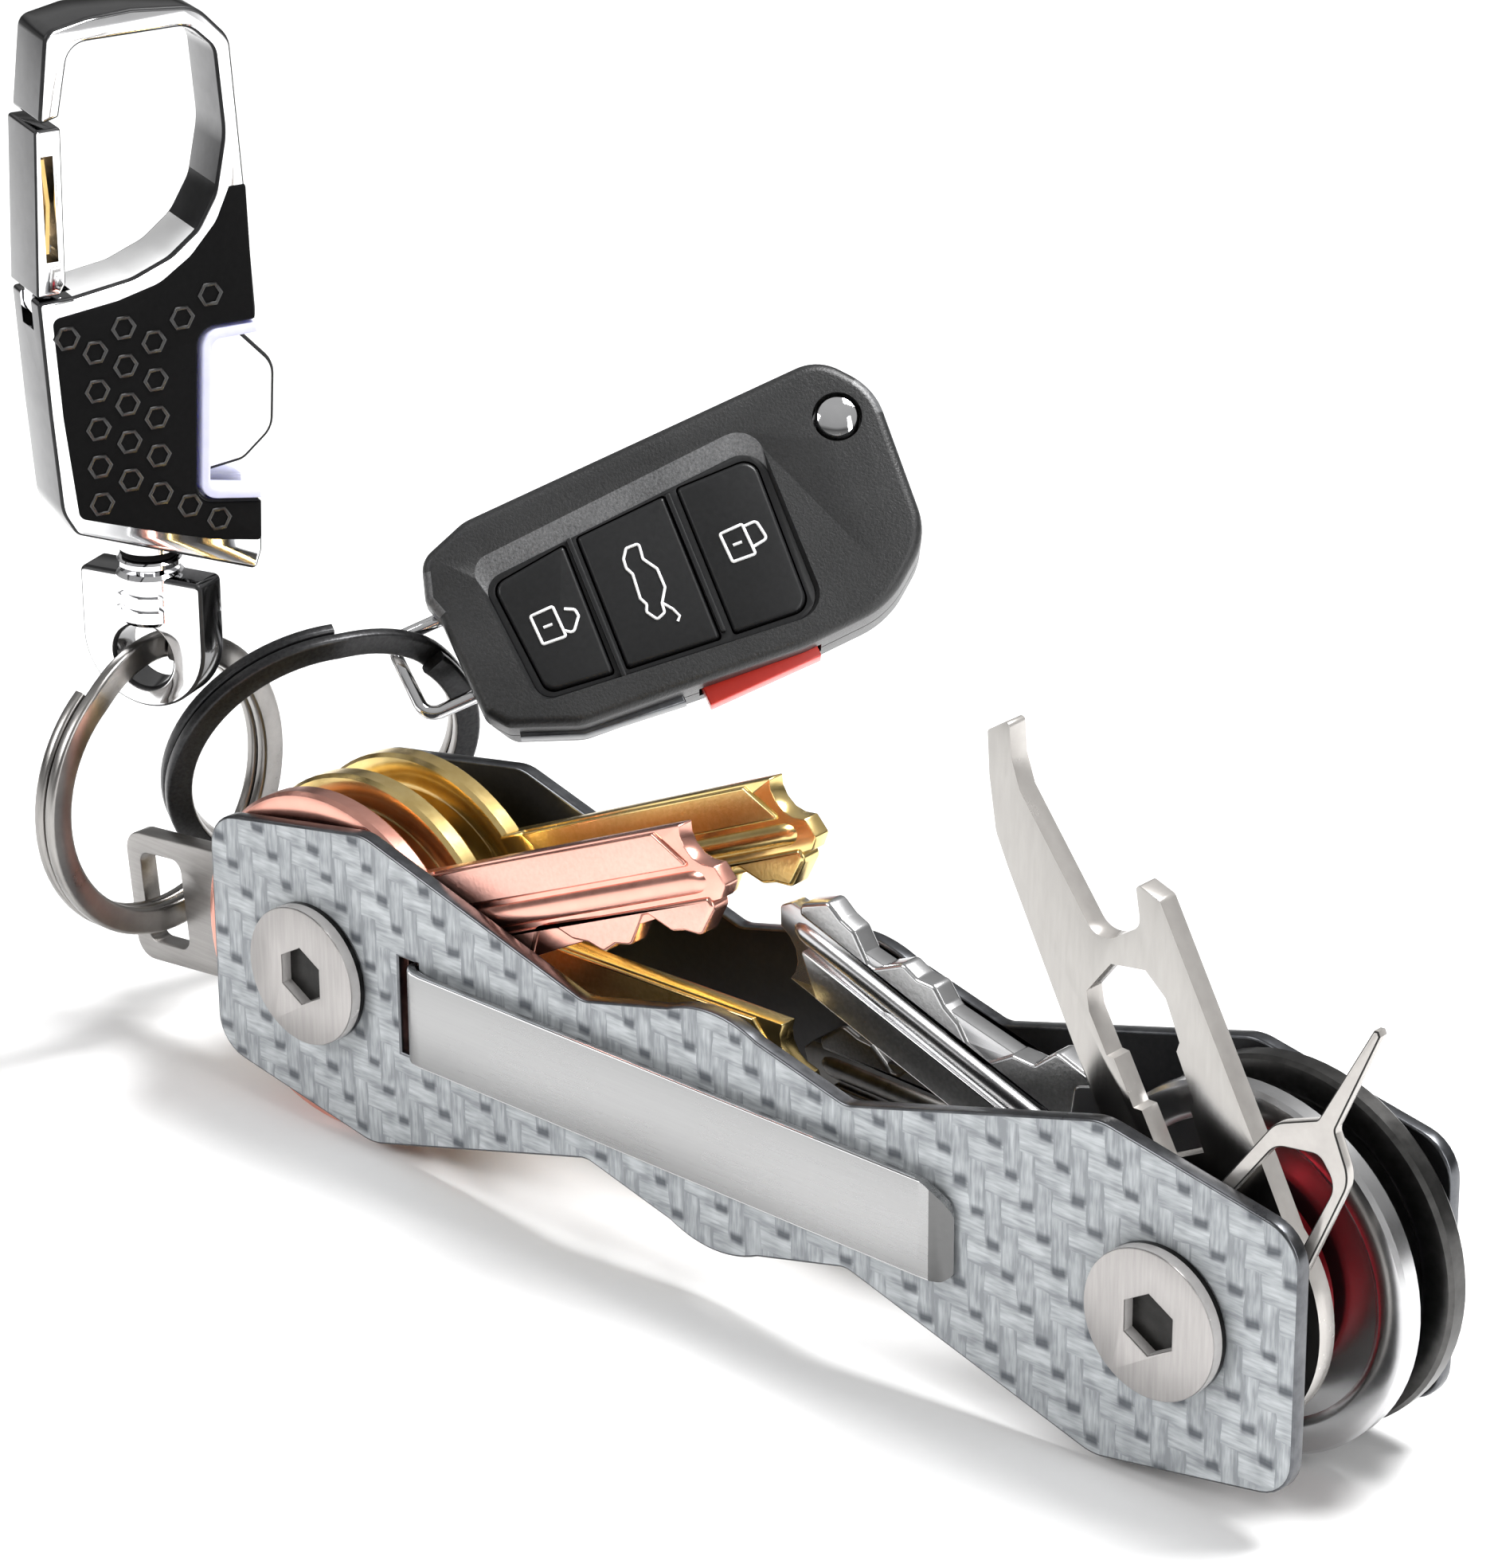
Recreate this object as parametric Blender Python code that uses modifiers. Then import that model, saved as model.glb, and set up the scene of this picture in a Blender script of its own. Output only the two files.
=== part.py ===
# Key organiser with folding keys and tools, a swivel carabiner and a flip key fob on split rings.
# Run with: blender --background --python part.py
# Sizes below are in millimetres. MM turns them into metres when a mesh is made.

import math

import bmesh
import bpy
from mathutils import Matrix, Vector

MM = 0.001

# Organiser frame. Its working frame has +X along the plates and +Z up; the front plate's outer
# face is at y = 0, and layers behind it have larger y.
POST_PITCH = 76.0
POST_X = POST_PITCH / 2
PLATE_T = 1.1
PLATE_TIP = 48.4
PLATE_TIP_HALF = 9.1
REAR_FACE_Y = 15.75
REAR_OUT_Y = REAR_FACE_Y + PLATE_T
BARREL_R = 2.2
BARREL_HOLE_R = 2.5
SCREW_HEAD_R = 5.15
SCREW_HEAD_T = 1.3
FIT = 0.3
SHARP_ANGLE = 35.0
CLIP_HALF_W = 3.55

# Layers between the plates: nearest and farthest y of each piece.
ROSE_Y = (1.4, 3.4)
PIN_Y = (1.6, 2.4)
BRACKET_Y = (3.72, 5.3)
TOOL_Y = (3.75, 5.3)
GOLD_FRONT_Y = (5.65, 7.7)
SILVER_Y = (8.15, 10.2)
GOLD_REAR_Y = (10.55, 12.6)
DARK_Y = (12.95, 15.0)

# Keys and tools: the angle of each one, turning from +X towards +Z.
ROSE_ANGLE = 24.0
GOLD_FRONT_ANGLE = 1.5
GOLD_REAR_ANGLE = 24.5
SILVER_ANGLE = 160.7
DARK_ANGLE = 179.0
TOOL_ANGLE = 117.6
PIN_ANGLE = 57.0
BRACKET_ANGLE = 186.0
KEY_HEAD_R = 12.75
KEY_EDGE = 5.05

# Split rings.
RING_RADIAL = 2.0
RING_AXIAL = 2.2
RING_JOG = 40.0
LINK_X = -57.9
LINK_Y = 4.0
CARABINER_RING_R = 10.4
CARABINER_RING_Z = -2.9
RING_TOP_Z = CARABINER_RING_Z + 2 * CARABINER_RING_R
FOB_RING_R = 11.2
FOB_RING_CENTRE = (-55.2, 17.5, 6.2)
FOB_RING_AZIMUTH = 64.6
FOB_RING_TILT = -21.4
FOB_LINK_ANGLE = 41.0
FOB_RING_PIVOT_ANGLE = 10.0

# Swivel and carabiner.
YOKE_AZIMUTH = 16.0
YOKE_HALF_T = 1.5
YOKE_HALF_W = 5.05
YOKE_EYE_R = 2.4
YOKE_BARREL_R = 2.5
YOKE_TOP_Z = 24.5
YOKE_SHOULDER_DROP = 0.35
CARABINER_AZIMUTH = 70.0
CARABINER_HALF_T = 2.6
INLAY_DEPTH = 0.95
INLAY_PROUD = 0.2
INLAY_GAP = 0.12
GATE_PIVOT = (-6.9, 20.9)

# Key fob. Its frame has x along the case, y across it and z out of the button face.
FOB_AZIMUTH = 42.0
FOB_TILT = 33.0
FOB_ROLL = 24.4
FOB_HALF_T = 3.75
FOB_SPLIT = 0.1
FOB_DROP = 1.4
BLADE_PIVOT = (34.2, 5.25)
SLOT_HALF_T = 1.35
PAD_FLOOR = 3.1
WIRE_LEGS_Y = (4.3, -2.0)


def clear_scene():
    for obj in list(bpy.data.objects):
        bpy.data.objects.remove(obj, do_unlink=True)


def new_collection(name):
    collection = bpy.data.collections.new(name)
    bpy.context.scene.collection.children.link(collection)
    return collection


def material(name, colour, metallic, roughness):
    found = bpy.data.materials.new(name)
    found.use_nodes = True
    shader = found.node_tree.nodes["Principled BSDF"]
    shader.inputs["Base Color"].default_value = (*colour, 1.0)
    shader.inputs["Metallic"].default_value = metallic
    shader.inputs["Roughness"].default_value = roughness
    return found


def frame_axes(azimuth, tilt=0.0, roll=0.0):
    """Axes of a flat piece: x and y lie in it and z is its front normal.

    Azimuth 0 faces -Y and 90 faces +X, tilt leans the face upwards, and roll turns x towards y.
    """
    a, t, r = (math.radians(v) for v in (azimuth, tilt, roll))
    right = Vector((math.cos(a), math.sin(a), 0.0))
    normal = Vector((math.sin(a) * math.cos(t), -math.cos(a) * math.cos(t), math.sin(t)))
    up = normal.cross(right)
    along = right * math.cos(r) + up * math.sin(r)
    across = up * math.cos(r) - right * math.sin(r)
    return along, across, normal


def frame(name, place, azimuth=0.0, tilt=0.0, roll=0.0):
    """An empty on a body's joint axis, turned so that flat pieces lie in its local XY plane."""
    empty = bpy.data.objects.new(name, None)
    empty.empty_display_size = 5 * MM
    turn = Matrix(frame_axes(azimuth, tilt, roll)).transposed().to_4x4()
    empty.matrix_world = Matrix.Translation(Vector(place) * MM) @ turn
    PARTS.objects.link(empty)
    return empty


def add(name, mesh, parent, finish):
    obj = bpy.data.objects.new(name, mesh)
    obj.data.materials.append(finish)
    obj.data.shade_smooth()
    obj.data.set_sharp_from_angle(angle=math.radians(SHARP_ANGLE))
    obj.parent = parent
    PARTS.objects.link(obj)
    return obj


def cutter(mesh, parent):
    obj = bpy.data.objects.new("cutter", mesh)
    obj.hide_render = True
    obj.display_type = "WIRE"
    obj.parent = parent
    CUTTERS.objects.link(obj)
    return obj


def boolean(obj, mesh, operation="DIFFERENCE"):
    """Cut a mesh from a piece, or join it on, in the piece's own frame."""
    step = obj.modifiers.new(operation.lower(), "BOOLEAN")
    step.operation = operation
    step.object = cutter(mesh, obj.parent)


def arc(centre, radius, start, end, segments):
    points = []
    for i in range(segments + 1):
        a = math.radians(start + (end - start) * i / segments)
        points.append((centre[0] + radius * math.cos(a), centre[1] + radius * math.sin(a)))
    return points


def circle(centre, radius, segments=32):
    return arc(centre, radius, 0.0, 360.0 * (segments - 1) / segments, segments - 1)


def rounded(points, segments=4):
    """A corner given as (x, y) stays sharp, and one given as (x, y, radius) becomes an arc."""
    outline = []
    for i, point in enumerate(points):
        here = Vector(point[:2])
        if len(point) == 2:
            outline.append(here[:])
            continue
        back = (Vector(points[i - 1][:2]) - here).normalized()
        ahead = (Vector(points[(i + 1) % len(points)][:2]) - here).normalized()
        half = back.angle(ahead) / 2
        centre = here + (back + ahead).normalized() * point[2] / math.sin(half)
        first = here + back * point[2] / math.tan(half) - centre
        last = here + ahead * point[2] / math.tan(half) - centre
        turn = math.atan2(first.cross(last), first.dot(last))
        for k in range(segments + 1):
            outline.append((centre + Matrix.Rotation(turn * k / segments, 2) @ first)[:])
    return outline


def curve_to_mesh(curve):
    """The mesh of a curve, with its loose caps welded on."""
    obj = bpy.data.objects.new("curve", curve)
    bpy.context.scene.collection.objects.link(obj)
    evaluated = obj.evaluated_get(bpy.context.evaluated_depsgraph_get())
    mesh = bpy.data.meshes.new_from_object(evaluated)
    bpy.data.objects.remove(obj, do_unlink=True)
    mesh.materials.clear()
    shape = bmesh.new()
    shape.from_mesh(mesh)
    bmesh.ops.remove_doubles(shape, verts=shape.verts, dist=0.002 * MM)
    bmesh.ops.recalc_face_normals(shape, faces=shape.faces)
    shape.to_mesh(mesh)
    shape.free()
    return mesh


def flat(outline, low, high, holes=()):
    """A flat outline with holes, solid from z = low to z = high."""
    curve = bpy.data.curves.new("outline", "CURVE")
    curve.dimensions = "2D"
    curve.fill_mode = "BOTH"
    curve.extrude = (high - low) / 2 * MM
    for ring in (outline, *holes):
        spline = curve.splines.new("POLY")
        spline.points.add(len(ring) - 1)
        spline.use_cyclic_u = True
        for point, (x, y) in zip(spline.points, ring):
            point.co = (x * MM, y * MM, 0.0, 1.0)
    mesh = curve_to_mesh(curve)
    mesh.transform(Matrix.Translation((0.0, 0.0, (low + high) / 2 * MM)))
    return mesh


def box(low, high):
    shape = bmesh.new()
    bmesh.ops.create_cube(shape, size=1.0)
    for vert in shape.verts:
        for i in range(3):
            vert.co[i] = (low[i] + (vert.co[i] + 0.5) * (high[i] - low[i])) * MM
    mesh = bpy.data.meshes.new("box")
    shape.to_mesh(mesh)
    shape.free()
    return mesh


def turned(name, profile, parent, finish, closed=False, steps=40, centre=(0.0, 0.0)):
    """A turned piece: (radius, z) points run down its outer side, and a closed profile is a ring."""
    shape = bmesh.new()
    verts = [shape.verts.new((r * MM, 0.0, z * MM)) for r, z in profile]
    for a, b in zip(verts, verts[1:]):
        shape.edges.new((a, b))
    if closed:
        shape.edges.new((verts[-1], verts[0]))
    mesh = bpy.data.meshes.new(name)
    shape.to_mesh(mesh)
    shape.free()
    obj = add(name, mesh, parent, finish)
    obj.location = (centre[0] * MM, centre[1] * MM, 0.0)
    screw = obj.modifiers.new("turn", "SCREW")
    screw.steps = steps
    screw.render_steps = steps
    screw.use_merge_vertices = True
    screw.merge_threshold = 0.00001
    return obj


def tube(points, radius, cyclic=False):
    """Round wire along a list of points."""
    curve = bpy.data.curves.new("wire", "CURVE")
    curve.dimensions = "3D"
    curve.bevel_depth = radius * MM
    curve.bevel_resolution = 2
    curve.use_fill_caps = True
    spline = curve.splines.new("POLY")
    spline.points.add(len(points) - 1)
    spline.use_cyclic_u = cyclic
    for point, place in zip(spline.points, points):
        point.co = (*[c * MM for c in place], 1.0)
    return curve_to_mesh(curve)


def split_ring_mesh(radius, turn_steps=40):
    """Two turns of flat wire side by side, with the jog where one turn crosses to the other."""
    wire_t = RING_AXIAL / 2 - 0.1
    section = bpy.data.curves.new("section", "CURVE")
    section.dimensions = "2D"
    spline = section.splines.new("POLY")
    spline.points.add(3)
    spline.use_cyclic_u = True
    for point, (x, y) in zip(spline.points, ((1, 1), (-1, 1), (-1, -1), (1, -1))):
        point.co = (x * RING_RADIAL / 2 * MM, y * wire_t / 2 * MM, 0.0, 1.0)
    profile = bpy.data.objects.new("section", section)
    bpy.context.scene.collection.objects.link(profile)
    curve = bpy.data.curves.new("ring", "CURVE")
    curve.dimensions = "3D"
    curve.twist_mode = "Z_UP"
    curve.bevel_mode = "OBJECT"
    curve.bevel_object = profile
    curve.use_fill_caps = True
    first = RING_JOG / 2 + 2.0
    last = 720.0 - first
    count = turn_steps * 2
    spline = curve.splines.new("POLY")
    spline.points.add(count)
    for i, point in enumerate(spline.points):
        degrees = first + (last - first) * i / count
        shift = min(max((degrees - 360.0) / RING_JOG + 0.5, 0.0), 1.0) - 0.5
        a = math.radians(degrees)
        lift = shift * RING_AXIAL / 2
        point.co = (radius * math.cos(a) * MM, radius * math.sin(a) * MM, lift * MM, 1.0)
    mesh = curve_to_mesh(curve)
    bpy.data.objects.remove(profile, do_unlink=True)
    return mesh


def layer(outline, depths, holes=()):
    """A flat piece in the organiser's stack, between two depths behind the front face."""
    return flat(outline, -depths[1], -depths[0], holes)


def plate_outline():
    """Half of the bow-tie plate: tip, shoulder, valley and the low hump in the middle."""
    hump = arc((0.0, -0.05), 8.95, 90.0, 60.0, 3)[:-1]
    half = [*hump, (11.75, 6.0), (32.7, 12.0, 4.0), (PLATE_TIP, PLATE_TIP_HALF, 3.0)]
    right = half + [(p[0], -p[1], *p[2:]) for p in reversed(half)]
    left = [(-p[0], *p[1:]) for p in reversed(right)]
    return rounded([*right, *left[1:-1]])


def make_plates(root):
    holes = [circle((side * POST_X, 0.0), BARREL_HOLE_R, 24) for side in (-1, 1)]
    reach = CLIP_HALF_W + 0.15
    slot = [(-29.5, -reach), (-27.6, -reach), (-27.6, reach), (-29.5, reach)]
    add("front_plate", layer(plate_outline(), (0.0, PLATE_T), [*holes, slot]), root, CARBON)
    add("rear_plate", layer(plate_outline(), (REAR_FACE_Y, REAR_OUT_Y), holes), root, GUNMETAL)


def make_pocket_clip(root):
    """Spring steel strip: its tab enters the slot in the front plate and its far end bends in."""
    outer = [(-27.9, 0.75), (-27.2, 1.1), (-26.4, 1.2), (20.0, 1.25), (21.0, 1.0), (21.6, 0.45)]
    inner = [(21.1, 0.25), (20.7, 0.5), (19.8, 0.65), (-26.1, 0.6), (-27.1, 0.4), (-27.75, -0.1)]
    tab = [(-27.75, -0.95), (-28.35, -0.95), (-28.35, 0.3)]
    section = [(x, -z) for x, z in outer + inner + tab]
    mesh = flat(section, -CLIP_HALF_W, CLIP_HALF_W)
    mesh.transform(Matrix.Rotation(math.radians(-90), 4, "X"))
    add("pocket_clip", mesh, root, POLISHED)


def make_posts(root):
    head_z = REAR_OUT_Y + 0.15
    for side, name in ((-1, "left"), (1, "right")):
        centre = (side * POST_X, 0.0)
        top = SCREW_HEAD_T + 0.15
        screw = turned(name + "_screw", [
            (0.0, top), (SCREW_HEAD_R - 0.3, top), (SCREW_HEAD_R, top - 0.3), (SCREW_HEAD_R, 0.15),
            (1.4, 0.15), (1.4, -6.0), (0.0, -6.0)], root, BRUSHED, centre=centre)
        socket = arc(centre, 1.9 / math.cos(math.radians(30)), 30.0, 330.0, 5)
        boolean(screw, flat(socket, top - 0.9, top + 1.0))
        turned(name + "_post", [
            (0.0, -7.5), (1.7, -7.5), (1.7, -1.3), (BARREL_R, -1.3), (BARREL_R, -head_z),
            (SCREW_HEAD_R, -head_z), (SCREW_HEAD_R, 0.3 - head_z - SCREW_HEAD_T),
            (SCREW_HEAD_R - 0.3, -head_z - SCREW_HEAD_T), (0.0, -head_z - SCREW_HEAD_T)],
            root, BRUSHED, centre=centre)


def make_spacers(root):
    """Washers that fill the stack where a post carries no key or tool at that depth."""
    stack = (
        ("left_middle_spacer", -1, 6.0, 8.0, 10.25, ANODISED),
        ("left_rear_spacer", -1, 6.0, 12.9, 15.45, ANODISED),
        ("right_front_washer", 1, 5.0, 2.7, 3.45, ANODISED),
        ("red_washer", 1, 7.6, 5.6, 7.85, RED_METAL),
        ("right_middle_spacer", 1, 6.0, 10.5, 12.65, ANODISED),
        ("right_rear_washer", 1, 6.0, 15.2, 15.55, ANODISED),
    )
    for name, side, radius, near, far, finish in stack:
        inner = BARREL_R + FIT
        turned(name, [(inner, -near), (radius, -near), (radius, -far), (inner, -far)], root,
               finish, closed=True, centre=(side * POST_X, 0.0))


def key_outline():
    """Round head with a blade along +x: smooth edge on +y, bitted edge on -y."""
    join = math.degrees(math.asin(KEY_EDGE / KEY_HEAD_R))
    lower = math.degrees(math.asin(4.6 / KEY_HEAD_R))
    head = arc((0.0, 0.0), KEY_HEAD_R, join, 360.0 - lower, 36)
    bits = [(18.0, -4.6), (19.2, -2.6), (21.0, -2.1), (22.6, 0.6), (24.4, -0.4), (26.0, -0.9),
            (28.2, -2.1), (30.9, -2.2), (33.5, -0.7), (36.3, -2.1), (38.1, -2.3), (40.1, -0.8)]
    tip = [(41.6, 0.3), (41.3, 1.6), (39.7, 2.6), (39.6, 3.6), (38.8, KEY_EDGE)]
    return head + bits + tip


def make_keys():
    keys = (
        ("rose_key", -1, ROSE_ANGLE, ROSE_Y, ROSE_GOLD),
        ("gold_key_front", -1, GOLD_FRONT_ANGLE, GOLD_FRONT_Y, GOLD),
        ("gold_key_rear", -1, GOLD_REAR_ANGLE, GOLD_REAR_Y, GOLD),
        ("silver_key", 1, SILVER_ANGLE, SILVER_Y, SILVER),
        ("dark_key", 1, DARK_ANGLE, DARK_Y, DARK_STEEL),
    )
    hole = circle((0.0, 0.0), BARREL_R + FIT, 24)
    for name, side, angle, depths, finish in keys:
        axis = frame(name + "_axis", (side * POST_X, 0.0, 0.0), roll=angle)
        add(name, layer(key_outline(), depths, [hole]), axis, finish)


def make_multitool():
    """Screwdriver arm, bottle opener hook and stepped hex wrench cut in one steel plate."""
    axis = frame("multitool_axis", (POST_X, 0.0, 0.0), roll=TOOL_ANGLE)
    hub = arc((0.0, 0.0), 9.4, 163.0, 286.5, 12)
    arm = [(38.0, 0.2, 0.3), (35.3, 1.4), (31.7, 2.6), (29.3, 2.7)]
    opener = [(7.4, -9.0), (24.9, -8.6, 0.5), (26.4, -7.2, 0.3), (23.6, -6.3, 1.0),
              (23.2, -2.4, 1.6), (33.8, -0.6), (35.9, -0.9), (38.2, -1.9, 0.3)]
    outline = rounded([(-9.0, 2.7), *hub, *opener, *arm])
    wrench = [(21.8, -2.8), (20.9, -5.4), (18.9, -6.2), (16.0, -6.0), (15.5, -5.5), (12.2, -5.4),
              (11.8, -4.9), (8.9, -4.7), (8.9, -1.0), (12.3, -0.9), (12.6, -0.3), (15.9, -0.2),
              (16.2, 0.3), (19.2, 0.4), (20.5, 0.0)]
    hole = circle((0.0, 0.0), BARREL_R + FIT, 24)
    add("multitool", layer(outline, TOOL_Y, [wrench, hole]), axis, NICKEL)


def make_sim_pin():
    """Flat racetrack loop round the post, with the needle on its far end."""
    axis = frame("sim_pin_axis", (POST_X, 0.0, 0.0), roll=PIN_ANGLE)
    outline = rounded([
        (-3.6, 3.6, 3.0), (16.6, 2.5, 2.4), (19.4, 0.5, 0.6), (27.5, 1.25), (27.7, 1.0),
        (27.5, 0.7), (19.8, -0.7, 0.6), (18.0, -3.4, 2.4), (9.9, -4.9, 6.0), (-3.6, -4.2, 3.0)])
    inside = rounded([(-2.7, 2.65, 2.2), (15.4, 1.6, 1.8), (17.6, -0.9, 0.9), (16.9, -2.9, 1.6),
                      (9.9, -3.95, 6.0), (-2.7, -3.3, 2.2)])
    add("sim_pin", layer(outline, PIN_Y, [inside]), axis, NICKEL)


def make_loop_bracket():
    axis = frame("bracket_axis", (-POST_X, 0.0, 0.0), roll=BRACKET_ANGLE)
    body = arc((0.0, 0.0), 6.2, 52.0, 308.0, 18)
    ends = rounded([(9.0, -5.1), (23.6, -5.1, 1.6), (23.6, 4.9, 1.6), (9.0, 4.9)])
    window = rounded([(17.8, -3.6, 0.9), (22.2, -3.6, 0.9), (22.2, 3.4, 0.9),
                      (17.8, 3.4, 0.9)], 3)
    hole = circle((0.0, 0.0), BARREL_R + FIT, 24)
    add("loop_bracket", layer(body + ends, BRACKET_Y, [hole, window]), axis, SATIN)


def make_rings():
    axis = frame("carabiner_ring_axis", (LINK_X, LINK_Y, CARABINER_RING_Z), azimuth=90.0)
    mesh = split_ring_mesh(CARABINER_RING_R)
    mesh.transform(Matrix.Rotation(math.radians(105), 4, "Z"))
    mesh.transform(Matrix.Translation((0.0, CARABINER_RING_R * MM, 0.0)))
    add("carabiner_ring", mesh, axis, SATIN)
    pivot = math.radians(FOB_RING_PIVOT_ANGLE)
    middle = CARABINER_RING_Z + CARABINER_RING_R
    place = (LINK_X, LINK_Y + CARABINER_RING_R * math.cos(pivot),
             middle + CARABINER_RING_R * math.sin(pivot))
    axis = frame("fob_ring_axis", place, FOB_RING_AZIMUTH, FOB_RING_TILT)
    mesh = split_ring_mesh(FOB_RING_R)
    mesh.transform(Matrix.Rotation(math.radians(68), 4, "Z"))
    away = Vector(FOB_RING_CENTRE) - Vector(place)
    axes = frame_axes(FOB_RING_AZIMUTH, FOB_RING_TILT)
    local = Vector([away.dot(a) for a in axes])
    mesh.transform(Matrix.Translation(local * MM))
    add("fob_ring", mesh, axis, DARK_STEEL)


def make_swivel():
    """The yoke hangs on the ring by its eye, and its barrel holds the swivel pin."""
    axis = frame("yoke_axis", (LINK_X, LINK_Y, RING_TOP_Z), azimuth=YOKE_AZIMUTH)
    top = YOKE_TOP_Z - RING_TOP_Z
    shoulder = top - YOKE_SHOULDER_DROP
    sides = [(YOKE_HALF_W, shoulder), (-YOKE_HALF_W, shoulder)]
    outline = arc((0.0, 1.15), YOKE_HALF_W, 180.0, 360.0, 20) + sides
    eye = circle((0.0, 0.0), YOKE_EYE_R, 28)
    yoke = add("swivel_yoke", flat(outline, -YOKE_HALF_T, YOKE_HALF_T, [eye]), axis, CHROME)
    upright = Matrix.Rotation(math.radians(-90), 4, "X")
    barrel = flat(circle((0.0, 0.0), YOKE_BARREL_R, 28), YOKE_EYE_R + 0.1, top - 0.15)
    barrel.transform(upright)
    boolean(yoke, barrel, "UNION")
    for radius, low, high in ((1.3, 0.0, top + 1.0), (1.8, 0.0, YOKE_EYE_R + 1.6)):
        bore = flat(circle((0.0, 0.0), radius, 20), low, high)
        bore.transform(upright)
        boolean(yoke, bore)
    return axis


def carabiner_body_outline():
    """Outer and inner edge of the carabiner; y = 0 is the top of the yoke."""
    outer = [(7.2, -0.9, 0.4), (7.7, 0.6), (8.0, 18.7), (7.6, 27.0), (6.9, 38.6, 2.0),
             (4.5, 41.2, 3.0), (-0.3, 41.6), (-3.6, 41.4), (-6.6, 40.8, 1.0), (-7.4, 34.3, 0.3)]
    inner = [(-5.9, 34.7), (-4.9, 39.7, 1.6), (3.9, 39.8, 2.0), (5.7, 38.0, 1.5), (6.15, 31.8),
             (5.3, 27.7), (3.8, 25.2), (1.6, 23.5), (-1.2, 22.4), (-5.6, 21.75)]
    left = [(-8.2, 21.65, 0.3), (-7.8, 13.4), (-7.3, 6.0), (-6.3, 4.2, 1.0)]
    return rounded(outer + inner + left)


def inlay_outline(grow=0.0):
    """Grip panel below the opening, with the bottle opener notch in its right edge."""
    points = [(-7.3 - grow, 20.4 + grow), (-2.4 - grow, 21.0 + grow), (0.8 - grow, 21.8 + grow),
              (3.2 - grow, 23.4 + grow), (5.2 - grow, 25.6 + grow), (6.3 - grow, 28.0 + grow),
              (9.0 + grow, 28.0 + grow), (9.0 + grow, 0.9 - grow), (4.0, 2.0 - grow),
              (-0.1, 3.3 - grow), (-6.1 - grow, 5.4 - grow), (-6.9 - grow, 13.0)]
    return points


def make_carabiner():
    axis = frame("carabiner_axis", (LINK_X, LINK_Y, YOKE_TOP_Z), azimuth=CARABINER_AZIMUTH)
    body = add("carabiner_frame",
               flat(carabiner_body_outline(), -CARABINER_HALF_T, CARABINER_HALF_T), axis, CHROME)
    far = CARABINER_HALF_T + 1.0
    floor = CARABINER_HALF_T - INLAY_DEPTH
    for low, high in ((floor, far), (-far, -floor)):
        boolean(body, flat(inlay_outline(INLAY_GAP), low, high))
    notch = rounded([(9.5, 17.9), (3.55, 17.9, 1.4), (2.9, 5.2, 1.4), (9.5, 4.2)])
    boolean(body, flat(notch, -far, far))
    lip = rounded([(2.4, 19.2), (6.6, 17.6, 1.5), (10.1, 13.8, 2.2), (9.8, 8.8, 2.0),
                   (7.4, 6.8, 1.5), (2.4, 6.2)])
    boolean(body, flat(lip, -0.6, 0.6), "UNION")
    fork = box((GATE_PIVOT[0] - 2.5, GATE_PIVOT[1] - 1.6, -1.05),
               (GATE_PIVOT[0] + 1.65, GATE_PIVOT[1] + 2.0, 1.05))
    boolean(body, fork)
    boolean(body, flat(circle(GATE_PIVOT, 0.65, 16), -far, far))
    upright = Matrix.Rotation(math.radians(-90), 4, "X")
    socket = flat(circle((0.0, 0.0), 2.3, 28), -2.0, 2.6)
    socket.transform(upright)
    boolean(body, socket)
    return axis, notch


def make_inlays(axis, notch):
    floor = CARABINER_HALF_T - INLAY_DEPTH + INLAY_GAP
    top = CARABINER_HALF_T + INLAY_PROUD
    edge = 7.85
    for name, low, high in (("front_grip_inlay", floor, top), ("rear_grip_inlay", -top, -floor)):
        inlay = add(name, flat(inlay_outline(), low, high), axis, BLACK_RUBBER)
        grown = [(x - 0.12, y + (0.12 if y > 10 else -0.12)) for x, y in notch]
        boolean(inlay, flat(grown, low - 1, high + 1))
        boolean(inlay, box((edge, -5.0, low - 1), (12.0, 40.0, high + 1)))
    side = 0.7
    liner = rounded([
        (7.9, 17.75), (3.75, 17.75, 1.3), (3.1, 5.35, 1.3), (7.7, 4.6), (7.7, 4.6 + side),
        (3.1 + side, 5.35 + side, 0.7), (3.75 + side, 17.75 - side, 0.7), (7.9, 17.75 - side)])
    for name, low, high in (("front_notch_liner", 0.75, top + 0.1),
                            ("rear_notch_liner", -top - 0.1, -0.75)):
        add(name, flat(liner, low, high), axis, LAVENDER)


def make_swivel_pin(axis):
    head = 20.75 - YOKE_TOP_Z
    pin = turned("swivel_pin", [
        (0.0, 2.45), (2.15, 2.45), (2.15, 0.75), (2.35, 0.7), (2.35, 0.2), (1.0, 0.2),
        (1.0, head + 0.7), (1.45, head + 0.7), (1.45, head), (0.0, head)], axis, CHROME)
    pin.rotation_euler = (math.radians(-90), 0.0, 0.0)


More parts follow.
